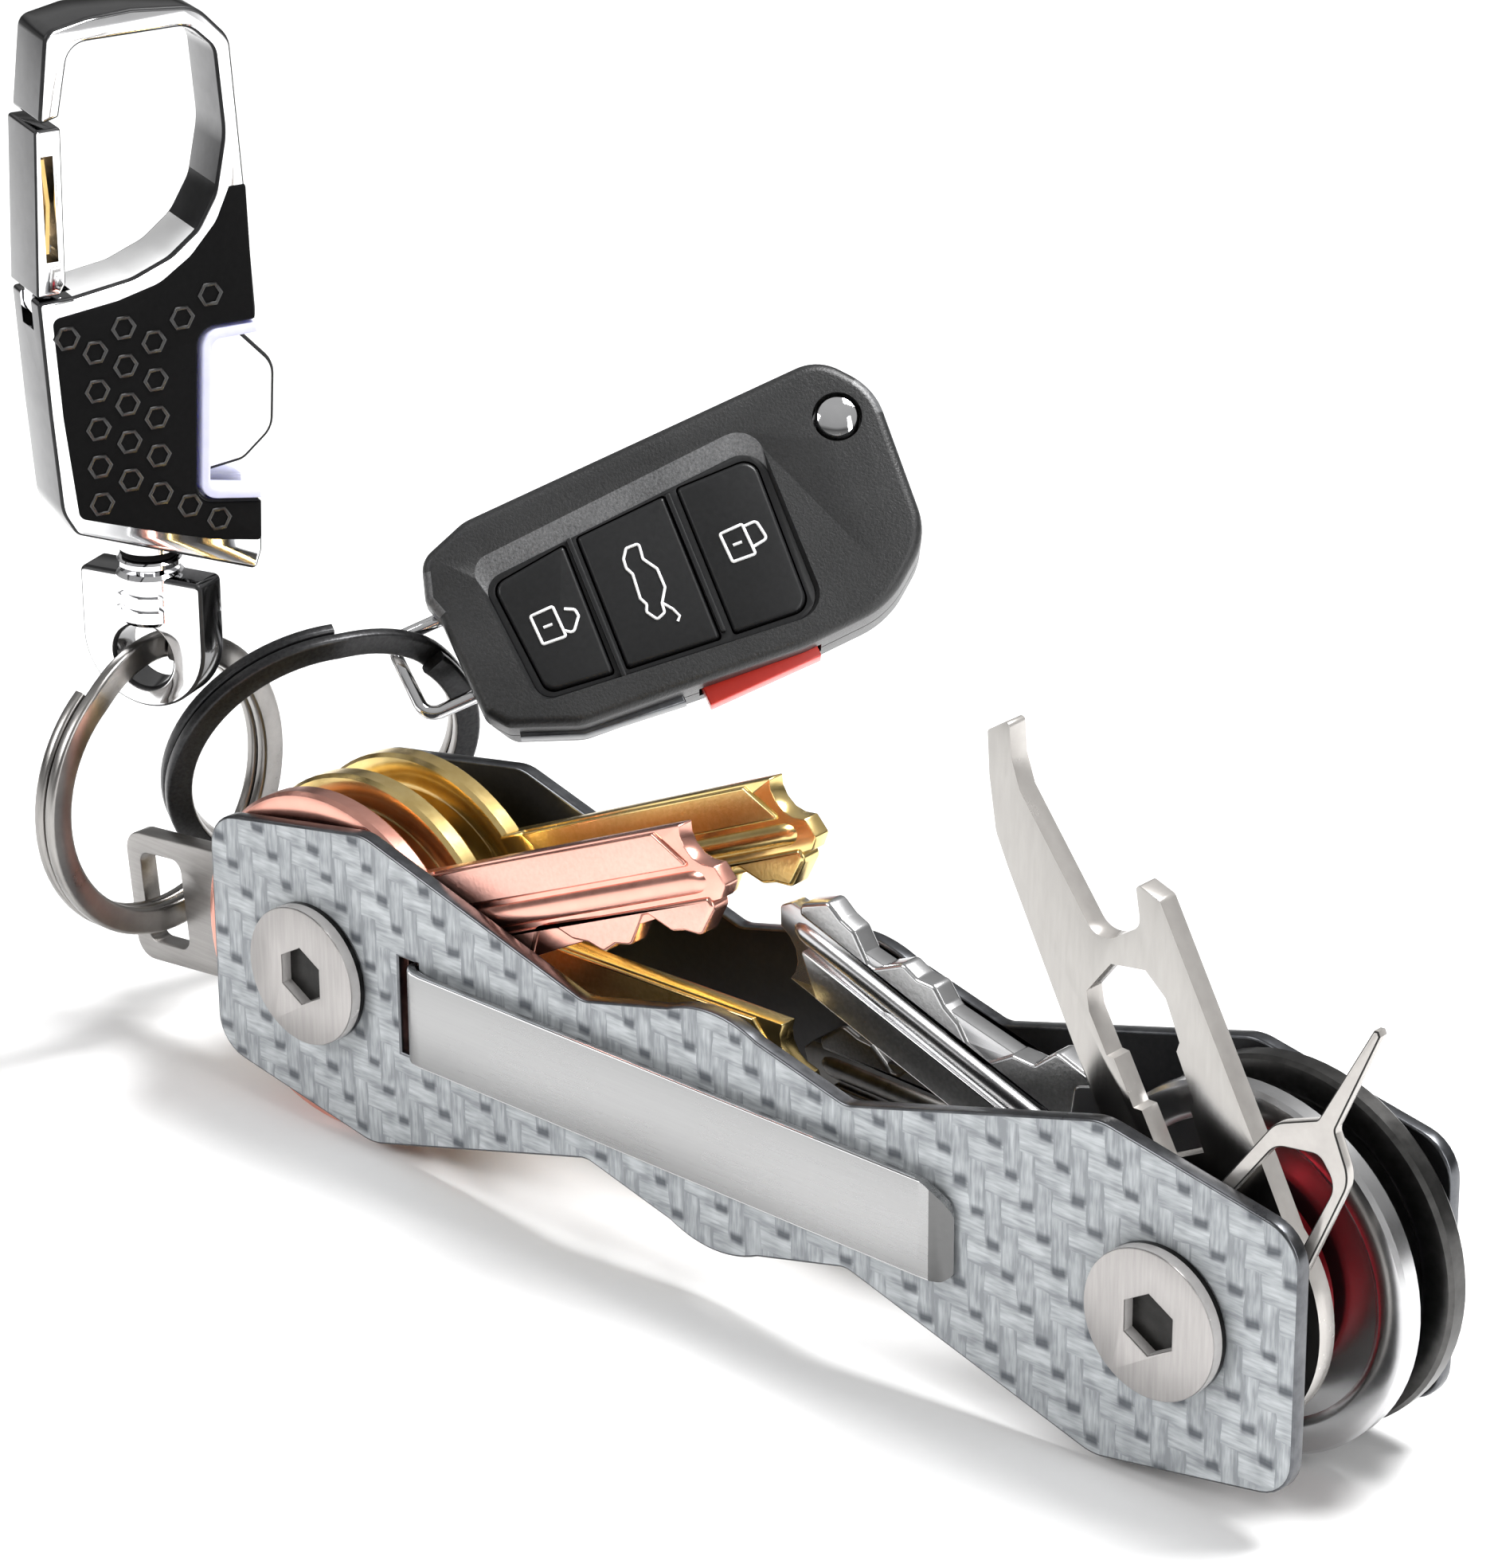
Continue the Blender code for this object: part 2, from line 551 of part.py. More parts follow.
def make_gate():
    axis = frame("gate_axis", gate_place(), azimuth=CARABINER_AZIMUTH)
    bar = flat([(-1.35, 1.15), (0.35, 1.15), (0.8, 1.9), (1.05, 13.1), (-0.85, 13.1)],
               -CARABINER_HALF_T, CARABINER_HALF_T)
    gate = add("carabiner_gate", bar, axis, CHROME)
    tongue = arc((0.0, 0.0), 1.15, 180.0, 360.0, 10) + [(1.0, 1.8), (-1.1, 1.8)]
    boolean(gate, flat(tongue, -0.8, 0.8), "UNION")
    boolean(gate, flat(circle((0.0, 0.0), 0.65, 16), -1.5, 1.5))
    boolean(gate, box((-0.55, 3.6, -3.0), (0.35, 11.2, 3.0)))
    leaf = [(-0.35, 4.0), (-0.05, 4.0), (0.2, 7.5), (-0.05, 10.8), (-0.35, 10.8), (-0.1, 7.5)]
    add("gate_spring", flat(leaf, -1.9, 1.9), axis, GOLD)


def gate_place():
    right = frame_axes(CARABINER_AZIMUTH)[0]
    along = right * GATE_PIVOT[0]
    return (LINK_X + along.x, LINK_Y + along.y, YOKE_TOP_Z + GATE_PIVOT[1])


def make_gate_pin(axis):
    mesh = flat(circle(GATE_PIVOT, 0.5, 16), 0.1 - CARABINER_HALF_T, CARABINER_HALF_T - 0.1)
    add("gate_pin", mesh, axis, SATIN)


def case_frame(fob_axis):
    """The case's own frame, a little below the link point that it turns about."""
    case_axis = bpy.data.objects.new("case_frame", None)
    case_axis.parent = fob_axis
    case_axis.location = (0.0, -FOB_DROP * MM, 0.0)
    PARTS.objects.link(case_axis)
    return case_axis


def fob_outline():
    """Case outline: narrow at the ring end, wide and rounded at the blade end."""
    return rounded([
        (1.4, -4.2, 1.0), (2.6, -5.8, 1.2), (7.6, -7.9, 3.0), (24.8, -9.4, 8.0), (31.8, -9.2, 5.0),
        (36.4, -5.6, 4.0), (37.6, 6.2, 3.0), (34.6, 10.0, 3.0), (5.9, 9.65, 3.5), (1.9, 8.3, 2.0), (0.9, 5.3, 0.8), (1.4, 3.6, 1.0)])


def fob_place():
    """The link point: where the case's wire loop hangs on the fob ring."""
    along, across, _ = frame_axes(FOB_RING_AZIMUTH, FOB_RING_TILT)
    a = math.radians(FOB_LINK_ANGLE)
    centre = Vector(FOB_RING_CENTRE)
    return tuple(centre + (along * math.cos(a) + across * math.sin(a)) * FOB_RING_R)


def button_outlines():
    """Three keys in the pad between its two ribs."""
    left = rounded([(5.9, 4.3, 1.0), (6.3, -4.6, 1.0), (11.3, -5.3), (11.9, 4.9)])
    middle = [(13.0, 5.0), (12.4, -5.4), (19.5, -6.2), (20.1, 5.2)]
    right = rounded([(21.2, 5.3), (20.6, -6.3), (26.4, -6.9, 1.2), (27.3, 5.1, 1.2)])
    return {"unlock_button": left, "boot_button": middle, "lock_button": right}


def grown(outline, amount):
    middle = Vector((sum(p[0] for p in outline), sum(p[1] for p in outline))) / len(outline)
    result = []
    for x, y in outline:
        result.append((x + math.copysign(amount, x - middle.x),
                       y + math.copysign(amount, y - middle.y)))
    return result


def slot_cuts():
    """The blade's slot: open along the top edge and round the hinge end."""
    reach = SLOT_HALF_T
    return [box((5.0, 4.6, -reach), (45.0, 14.0, reach)),
            box((30.6, 1.0, -reach), (45.0, 14.0, reach))]


def make_fob_shells(axis):
    upper = add("fob_upper_shell", flat(fob_outline(), FOB_SPLIT, FOB_HALF_T), axis, CASE)
    lower = add("fob_lower_shell", flat(fob_outline(), -FOB_HALF_T, -FOB_SPLIT), axis, CASE)
    cavity = [(3.6, -3.9), (8.6, -6.2), (29.3, -8.0), (29.3, 3.5), (4.6, 3.5)]
    for shell, low, high in ((upper, -1.0, 2.2), (lower, -2.7, 1.0)):
        boolean(shell, flat(cavity, low, high))
        for mesh in slot_cuts():
            boolean(shell, mesh)
        boolean(shell, box((16.6, -12.0, -1.3), (26.2, -7.6, 1.3)))
        boolean(shell, flat(strip_outline(0.12), -1.12, 1.12))
        relief = flat([(-1.0, -5.0), (4.0, -5.0), (1.3, 0.7), (-1.0, 0.7)], -9.0, 9.0)
        relief.transform(Matrix.Rotation(math.radians(90), 4, "X"))
        boolean(shell, relief)
    pad = rounded([(5.3, 4.9, 1.4), (5.7, -5.0, 1.4), (27.2, -7.6, 2.0), (28.0, 5.9, 2.0)])
    boolean(upper, flat(pad, PAD_FLOOR, FOB_HALF_T + 1))
    for outline in button_outlines().values():
        boolean(upper, flat(grown(outline, 0.15), 0.0, FOB_HALF_T + 1))
    boolean(upper, flat(circle(BLADE_PIVOT, 1.85, 24), 0.0, FOB_HALF_T + 1))
    boolean(lower, flat(circle(BLADE_PIVOT, 2.3, 24), -3.2, 0.0))
    for y in WIRE_LEGS_Y:
        boolean(upper, tube([(-1.0, y, 0.0), (3.2, y, 0.0)], 0.72))
        boolean(lower, tube([(-1.0, y, 0.0), (3.2, y, 0.0)], 0.72))


def strip_outline(grow=0.0):
    """A thin trim strip let into the ring end of the lower edge."""
    return [(3.4 - grow, -5.45 + grow), (7.7, -7.2 + grow), (15.4 + grow, -8.1 + grow),
            (15.4 + grow, -9.1 - grow), (7.6, -8.2 - grow), (3.2 - grow, -6.4 - grow)]


def make_fob_pieces(axis):
    add("fob_edge_strip", flat(strip_outline(), -1.0, 1.0), axis, SATIN)
    board = [(4.2, -3.4), (9.0, -5.7), (28.8, -7.3), (28.8, 3.0), (5.2, 3.0)]
    add("circuit_board", flat(board, -0.55, 0.25), axis, BOARD)
    turned("coin_cell", [(0.0, -0.8), (3.9, -0.8), (3.9, -2.4), (0.0, -2.4)], axis, SATIN,
           steps=28, centre=(20.0, -2.0))
    high, low = WIRE_LEGS_Y
    wire = rounded([(3.0, high), (-2.7, high, 1.2), (-2.5, low, 1.2), (3.0, low)])
    add("fob_wire_loop", tube([(x, y, 0.0) for x, y in wire], 0.55), axis, CHROME)
    turned("fob_pivot", [(0.0, 1.25), (0.75, 1.25), (0.75, -3.1), (0.0, -3.1)], axis, SATIN,
           steps=16, centre=BLADE_PIVOT)
    turns = []
    for i in range(49):
        a = math.radians(i * 22.5)
        turns.append((BLADE_PIVOT[0] + 1.6 * math.cos(a), BLADE_PIVOT[1] + 1.6 * math.sin(a),
                      -2.85 + 1.2 * i / 48))
    add("flip_spring", tube(turns, 0.17), axis, SATIN)


def make_blade(place):
    axis = frame("blade_axis", place, FOB_AZIMUTH, FOB_TILT, FOB_ROLL)
    hub = arc((0.0, 0.0), 2.7, -90.0, 90.0, 12)
    outline = hub + [(-4.0, 3.4), (-26.0, 3.2), (-28.0, 1.2), (-26.5, 0.3), (-4.0, 0.0),
                     (-2.6, -0.7)]
    hole = circle((0.0, 0.0), 0.95, 16)
    add("fob_blade", flat(outline, -1.05, 1.05, [hole]), axis, DARK_STEEL)


def fob_point(x, y, z=0.0):
    along, across, normal = frame_axes(FOB_AZIMUTH, FOB_TILT, FOB_ROLL)
    return tuple(Vector(fob_place()) + along * x + across * (y - FOB_DROP) + normal * z)


def make_fob_buttons():
    turn = (FOB_AZIMUTH, FOB_TILT, FOB_ROLL)
    for name, outline in button_outlines().items():
        axis = frame(name + "_axis", fob_point(0.0, 0.0), *turn)
        add(name, flat(outline, 1.1, PAD_FLOOR + 0.45), axis, BUTTON)
    axis = frame("panic_button_axis", fob_point(0.0, 0.0), *turn)
    add("panic_button", box((16.9, -10.1, -1.05), (25.9, -8.2, 1.05)), axis, PANIC_RED)
    axis = frame("release_button_axis", fob_point(*BLADE_PIVOT), *turn)
    turned("release_button", [(0.0, 4.1), (1.3, 4.1), (1.65, 3.85), (1.65, 1.75), (0.0, 1.75)],
           axis, CHROME, steps=28)


def centre_on_base():
    """Move the whole object so that its box stands centred on the origin."""
    graph = bpy.context.evaluated_depsgraph_get()
    corners = []
    for obj in PARTS.objects:
        if obj.type == "MESH":
            mesh = obj.evaluated_get(graph).to_mesh()
            corners.extend(obj.matrix_world @ vert.co for vert in mesh.vertices)
    low = [min(c[i] for c in corners) for i in range(3)]
    high = [max(c[i] for c in corners) for i in range(3)]
    shift = Vector((-(low[0] + high[0]) / 2, -(low[1] + high[1]) / 2, -low[2]))
    for obj in PARTS.objects:
        if obj.type == "EMPTY" and obj.parent is None:
            obj.matrix_world = Matrix.Translation(shift) @ obj.matrix_world


clear_scene()
PARTS = new_collection("key_organiser")
CUTTERS = new_collection("cutters")

CARBON = material("carbon_fibre", (0.55, 0.58, 0.60), 0.3, 0.45)
GUNMETAL = material("gunmetal", (0.05, 0.05, 0.055), 0.9, 0.4)
POLISHED = material("polished_steel", (0.75, 0.75, 0.76), 1.0, 0.15)
BRUSHED = material("brushed_steel", (0.62, 0.60, 0.59), 1.0, 0.35)
SATIN = material("satin_steel", (0.48, 0.47, 0.46), 1.0, 0.4)
CHROME = material("chrome", (0.85, 0.85, 0.86), 1.0, 0.06)
NICKEL = material("nickel", (0.66, 0.63, 0.60), 1.0, 0.15)
ROSE_GOLD = material("rose_gold", (0.85, 0.42, 0.34), 1.0, 0.25)
GOLD = material("gold", (0.72, 0.48, 0.14), 1.0, 0.25)
SILVER = material("silver", (0.78, 0.78, 0.79), 1.0, 0.2)
DARK_STEEL = material("dark_steel", (0.10, 0.10, 0.10), 1.0, 0.35)
ANODISED = material("black_anodised", (0.03, 0.03, 0.03), 0.8, 0.4)
RED_METAL = material("red_anodised", (0.35, 0.01, 0.02), 0.9, 0.3)
BLACK_RUBBER = material("black_rubber", (0.01, 0.01, 0.01), 0.0, 0.5)
LAVENDER = material("lavender_plastic", (0.62, 0.63, 0.80), 0.0, 0.4)
CASE = material("case_plastic", (0.015, 0.015, 0.017), 0.0, 0.45)
BUTTON = material("button_rubber", (0.012, 0.012, 0.014), 0.0, 0.35)
PANIC_RED = material("panic_red", (0.65, 0.05, 0.03), 0.0, 0.4)
BOARD = material("board_green", (0.02, 0.18, 0.06), 0.0, 0.5)

organiser = frame("organiser_frame", (0.0, 0.0, 0.0))
make_plates(organiser)
make_pocket_clip(organiser)
make_posts(organiser)
make_spacers(organiser)
make_keys()
make_multitool()
make_sim_pin()
make_loop_bracket()
make_rings()
make_swivel()
carabiner, opener_notch = make_carabiner()
make_inlays(carabiner, opener_notch)
make_swivel_pin(carabiner)
make_gate()
make_gate_pin(carabiner)
fob = frame("fob_axis", fob_place(), FOB_AZIMUTH, FOB_TILT, FOB_ROLL)
case = case_frame(fob)
make_fob_shells(case)
make_fob_pieces(case)
make_blade(fob_point(*BLADE_PIVOT))
make_fob_buttons()
bpy.context.view_layer.update()
centre_on_base()
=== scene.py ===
import math

import bmesh
import bpy
from mathutils import Matrix, Vector


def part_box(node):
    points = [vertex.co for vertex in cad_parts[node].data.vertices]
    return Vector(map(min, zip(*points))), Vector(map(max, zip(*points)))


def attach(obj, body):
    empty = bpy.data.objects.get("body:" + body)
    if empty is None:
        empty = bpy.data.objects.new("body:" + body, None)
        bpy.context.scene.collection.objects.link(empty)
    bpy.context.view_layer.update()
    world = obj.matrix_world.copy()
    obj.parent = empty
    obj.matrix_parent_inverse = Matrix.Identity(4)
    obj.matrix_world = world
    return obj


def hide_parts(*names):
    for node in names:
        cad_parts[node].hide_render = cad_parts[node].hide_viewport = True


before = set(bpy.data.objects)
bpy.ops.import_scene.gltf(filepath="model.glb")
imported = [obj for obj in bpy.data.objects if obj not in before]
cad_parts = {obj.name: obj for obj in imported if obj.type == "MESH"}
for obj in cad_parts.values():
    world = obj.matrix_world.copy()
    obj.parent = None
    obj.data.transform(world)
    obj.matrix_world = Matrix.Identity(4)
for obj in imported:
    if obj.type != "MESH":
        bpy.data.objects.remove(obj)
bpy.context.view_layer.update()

mm = 0.001
frontLow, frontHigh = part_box("front_plate")
plateOrigin = Vector(((frontLow[0] + frontHigh[0]) / 2, frontLow[1], (frontLow[2] + frontHigh[2]) / 2))


# Places. Working millimetres have x along the plates, y behind the front face and z up.

def axesOf(azimuth, tilt=0.0, roll=0.0):
    a, t, r = (math.radians(v) for v in (azimuth, tilt, roll))
    right = Vector((math.cos(a), math.sin(a), 0.0))
    normal = Vector((math.sin(a) * math.cos(t), -math.cos(a) * math.cos(t), math.sin(t)))
    up = normal.cross(right)
    return (right * math.cos(r) + up * math.sin(r), up * math.cos(r) - right * math.sin(r), normal)


def frameAt(place, azimuth=0.0, tilt=0.0, roll=0.0):
    turn = Matrix(axesOf(azimuth, tilt, roll)).transposed().to_4x4()
    return Matrix.Translation(plateOrigin + Vector(place) * mm) @ turn @ Matrix.Scale(mm, 4)


# Outlines.

def arc(centre, radius, start, end, segments):
    points = []
    for i in range(segments + 1):
        a = math.radians(start + (end - start) * i / segments)
        points.append((centre[0] + radius * math.cos(a), centre[1] + radius * math.sin(a)))
    return points


def circle(centre, radius, segments=48):
    return arc(centre, radius, 0.0, 360.0 * (segments - 1) / segments, segments - 1)


def rounded(points, segments=7):
    outline = []
    for i, point in enumerate(points):
        here = Vector(point[:2])
        if len(point) == 2:
            outline.append(here[:])
            continue
        back = (Vector(points[i - 1][:2]) - here).normalized()
        ahead = (Vector(points[(i + 1) % len(points)][:2]) - here).normalized()
        half = back.angle(ahead) / 2
        centre = here + (back + ahead).normalized() * point[2] / math.sin(half)
        first = here + back * point[2] / math.tan(half) - centre
        last = here + ahead * point[2] / math.tan(half) - centre
        turn = math.atan2(first.cross(last), first.dot(last))
        for k in range(segments + 1):
            outline.append((centre + Matrix.Rotation(turn * k / segments, 2) @ first)[:])
    return outline


# Shapes, in millimetres.

def panel(outline, low, high, holes=(), bevel=0.0, steps=3, sides=(True, True), paint=0, rimPaint=None,
          sidePaint=None):
    shape = bmesh.new()
    for ring in (outline, *holes):
        verts = [shape.verts.new((x, y, low)) for x, y in ring]
        for i, vert in enumerate(verts):
            shape.edges.new((vert, verts[(i + 1) % len(verts)]))
    bmesh.ops.triangle_fill(shape, use_beauty=True, use_dissolve=True, edges=shape.edges[:], normal=(0, 0, 1))
    raised = bmesh.ops.extrude_face_region(shape, geom=shape.faces[:])
    for item in raised["geom"]:
        if isinstance(item, bmesh.types.BMVert):
            item.co.z = high
    bmesh.ops.recalc_face_normals(shape, faces=shape.faces[:])
    rim = []
    for edge in shape.edges:
        if len(edge.link_faces) != 2:
            continue
        steep = sorted(abs(face.normal.z) for face in edge.link_faces)
        top = edge.verts[0].co.z > (low + high) / 2
        if steep[0] < 0.5 < steep[1] and sides[1 if top else 0]:
            rim.append(edge)
    if bevel and rim:
        bmesh.ops.bevel(shape, geom=rim, offset=bevel, offset_type="OFFSET", segments=steps, profile=0.5,
                        affect="EDGES", clamp_overlap=True, material=-1)
    for face in shape.faces:
        flatness = abs(face.normal.z)
        if rimPaint is None or flatness > 0.999:
            face.material_index = paint
        else:
            face.material_index = sidePaint if flatness < 0.05 and sidePaint is not None else rimPaint
    return shape


# Gives the bevel faces between side and face a dark copy: a painted dark reflection line along the rims.
def paintRimReflection(shape, paint):
    for face in shape.faces:
        if 0.15 < abs(face.normal.z) < 0.9:
            face.material_index = paint


def lathe(profile, steps=64, closed=False, paint=0):
    shape = bmesh.new()
    verts = [shape.verts.new((r, 0.0, z)) for r, z in profile]
    edges = [shape.edges.new(pair) for pair in zip(verts, verts[1:])]
    if closed:
        edges.append(shape.edges.new((verts[-1], verts[0])))
    bmesh.ops.spin(shape, geom=verts + edges, axis=(0, 0, 1), cent=(0, 0, 0), angle=math.tau, steps=steps,
                   use_merge=True)
    bmesh.ops.remove_doubles(shape, verts=shape.verts[:], dist=0.0005)
    bmesh.ops.recalc_face_normals(shape, faces=shape.faces[:])
    for face in shape.faces:
        face.material_index = paint
    return shape


def sweep(rows, cyclic=False):
    shape = bmesh.new()
    rings = [[shape.verts.new(point) for point in row] for row in rows]
    pairs = list(zip(rings, rings[1:])) + ([(rings[-1], rings[0])] if cyclic else [])
    for a, b in pairs:
        for i in range(len(a)):
            j = (i + 1) % len(a)
            shape.faces.new((a[i], a[j], b[j], b[i]))
    if not cyclic:
        shape.faces.new(rings[0])
        shape.faces.new(rings[-1])
    bmesh.ops.recalc_face_normals(shape, faces=shape.faces[:])
    return shape


def wire(points, radius, sides, cyclic=False):
    points = [Vector(p) for p in points]
    count = len(points)
    rows = []
    side = None
    for i, point in enumerate(points):
        after = points[(i + 1) % count] if cyclic or i + 1 < count else point
        before = points[i - 1] if cyclic or i else point
        ahead = (after - before).normalized()
        if side is None:
            side = ahead.orthogonal().normalized()
        side = (side - ahead * side.dot(ahead)).normalized()
        other = ahead.cross(side)
        rows.append([point + (side * math.cos(a) + other * math.sin(a)) * radius
                     for a in (math.tau * k / sides for k in range(sides))])
    return sweep(rows, cyclic)


def joined(*shapes):
    total = bmesh.new()
    for shape in shapes:
        mesh = bpy.data.meshes.new("part")
        shape.to_mesh(mesh)
        shape.free()
        total.from_mesh(mesh)
        bpy.data.meshes.remove(mesh)
    return total


def carved(shape, tool, operation="DIFFERENCE"):
    objects = []
    for item in (shape, tool):
        mesh = bpy.data.meshes.new("carve")
        item.to_mesh(mesh)
        item.free()
        obj = bpy.data.objects.new("carve", mesh)
        bpy.context.scene.collection.objects.link(obj)
        objects.append(obj)
    step = objects[0].modifiers.new("carve", "BOOLEAN")
    step.operation = operation
    step.object = objects[1]
    result = bpy.data.meshes.new_from_object(objects[0].evaluated_get(bpy.context.evaluated_depsgraph_get()))
    total = bmesh.new()
    total.from_mesh(result)
    for obj in objects:
        bpy.data.objects.remove(obj, do_unlink=True)
    return total


def block(low, high):
    shape = bmesh.new()
    bmesh.ops.create_cube(shape, size=1.0)
    for vert in shape.verts:
        for i in range(3):
            vert.co[i] = low[i] + (vert.co[i] + 0.5) * (high[i] - low[i])
    return shape


def moved(shape, matrix):
    shape.transform(matrix)
    return shape


def shift(x, y):
    return Matrix.Translation((x, y, 0.0))


upright = Matrix.Rotation(math.radians(-90), 4, "X")  # carries a lathe's axis onto the local y axis


def piece(name, shape, place, body, finishes, stands=(), angle=32):
    shape.transform(place)
    mesh = bpy.data.meshes.new(name)
    shape.to_mesh(mesh)
    shape.free()
    mesh.shade_smooth()
    mesh.set_sharp_from_angle(angle=math.radians(angle))
    for coating in finishes:
        mesh.materials.append(coating)
    obj = bpy.data.objects.new(name, mesh)
    bpy.context.scene.collection.objects.link(obj)
    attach(obj, body)
    if stands:
        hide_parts(*stands)


# Materials.

def nodeIn(tree, kind, values=None, **settings):
    made = tree.nodes.new(kind)
    for key, value in settings.items():
        setattr(made, key, value)
    for key, value in (values or {}).items():
        socket = made.inputs[key]
        if isinstance(value, bpy.types.NodeSocket):
            tree.links.new(value, socket)
        else:
            socket.default_value = value
    return made


def maths(tree, operation, first, second=0.0, third=0.0):
    return nodeIn(tree, "ShaderNodeMath", {0: first, 1: second, 2: third}, operation=operation).outputs[0]


def vectorMaths(tree, operation, first, second, socket=1):
    return nodeIn(tree, "ShaderNodeVectorMath", {0: first, socket: second}, operation=operation).outputs[0]


def noise(tree, place, scale, detail):
    return nodeIn(tree, "ShaderNodeTexNoise", {"Vector": place, "Scale": scale, "Detail": detail}).outputs


def ranged(tree, value, low, high):
    return nodeIn(tree, "ShaderNodeMapRange", {0: value, 1: low, 2: high}).outputs[0]


def either(tree, factor, first, second):
    return nodeIn(tree, "ShaderNodeMix", {"Factor": factor, 2: first, 3: second}).outputs[0]


def newGroup(name, inputs, outputs):
    tree = bpy.data.node_groups.new(name, "ShaderNodeTree")
    for label, kind, value in inputs:
        socket = tree.interface.new_socket(label, in_out="INPUT", socket_type=kind)
        socket.default_value = value
    for label, kind in outputs:
        tree.interface.new_socket(label, in_out="OUTPUT", socket_type=kind)
    return tree, tree.nodes.new("NodeGroupInput").outputs, tree.nodes.new("NodeGroupOutput").inputs


def makeGrainGroup():
    number, vector = "NodeSocketFloat", "NodeSocketVector"
    tree, given, result = newGroup(
        "surfaceGrain",
        (("Stretch", vector, (1.0, 1.0, 1.0)), ("Scale", number, 900.0), ("Depth", number, 0.1),
         ("Base", number, 0.3), ("Smudge", number, 0.06)),
        (("Grain", number), ("Blotch", number), ("Roughness", number), ("Normal", vector)))
    place = tree.nodes.new("ShaderNodeTexCoord").outputs["Object"]
    stretched = vectorMaths(tree, "MULTIPLY", place, given["Stretch"])
    fine = nodeIn(tree, "ShaderNodeTexNoise", {"Vector": stretched, "Scale": given["Scale"], "Detail": 4.0,
                                               "Roughness": 0.6}).outputs["Fac"]
    blotch = noise(tree, place, 130.0, 3.0)["Fac"]
    lift = maths(tree, "MULTIPLY_ADD", maths(tree, "SUBTRACT", blotch, 0.5), given["Smudge"], given["Base"])
    fineLift = maths(tree, "MULTIPLY", maths(tree, "SUBTRACT", fine, 0.5), given["Smudge"])
    bump = nodeIn(tree, "ShaderNodeBump", {"Strength": given["Depth"], "Distance": 0.00004, "Height": fine})
    tree.links.new(fine, result["Grain"])
    tree.links.new(blotch, result["Blotch"])
    tree.links.new(maths(tree, "ADD", lift, fineLift), result["Roughness"])
    tree.links.new(bump.outputs[0], result["Normal"])
    return tree


grainGroup = makeGrainGroup()


def newMaterial(name):
    made = bpy.data.materials.new(name)
    made.use_nodes = True
    tree = made.node_tree
    tree.nodes.clear()
    shader = tree.nodes.new("ShaderNodeBsdfPrincipled")
    output = tree.nodes.new("ShaderNodeOutputMaterial")
    tree.links.new(shader.outputs[0], output.inputs["Surface"])
    return made, tree, shader


def blend(tree, factor, first, second):
    mixed = nodeIn(tree, "ShaderNodeMix", {"Factor": factor}, data_type="RGBA")
    for socket, value in ((mixed.inputs[6], first), (mixed.inputs[7], second)):
        if isinstance(value, bpy.types.NodeSocket):
            tree.links.new(value, socket)
        else:
            socket.default_value = (*value, 1.0)
    return mixed.outputs[2]


def finish(name, light, dark, metallic=1.0, rough=0.25, stretch=(1.0, 1.0, 1.0), scale=900.0, depth=0.1,
           smudge=0.08, coat=0.0, specular=0.5):
    made, tree, shader = newMaterial(name)
    grain = nodeIn(tree, "ShaderNodeGroup", node_tree=grainGroup)
    for label, value in (("Stretch", stretch), ("Scale", scale), ("Depth", depth), ("Base", rough),
                         ("Smudge", smudge)):
        grain.inputs[label].default_value = value
    mask = maths(tree, "MULTIPLY_ADD", grain.outputs["Grain"], 0.6,
                 maths(tree, "MULTIPLY", grain.outputs["Blotch"], 0.4))
    tree.links.new(blend(tree, ranged(tree, mask, 0.3, 0.7), dark, light), shader.inputs["Base Color"])
    tree.links.new(grain.outputs["Roughness"], shader.inputs["Roughness"])
    tree.links.new(grain.outputs["Normal"], shader.inputs["Normal"])
    shader.inputs["Metallic"].default_value = metallic
    shader.inputs["Coat Weight"].default_value = coat
    shader.inputs["Coat Roughness"].default_value = 0.08
    shader.inputs["Specular IOR Level"].default_value = specular
    return made


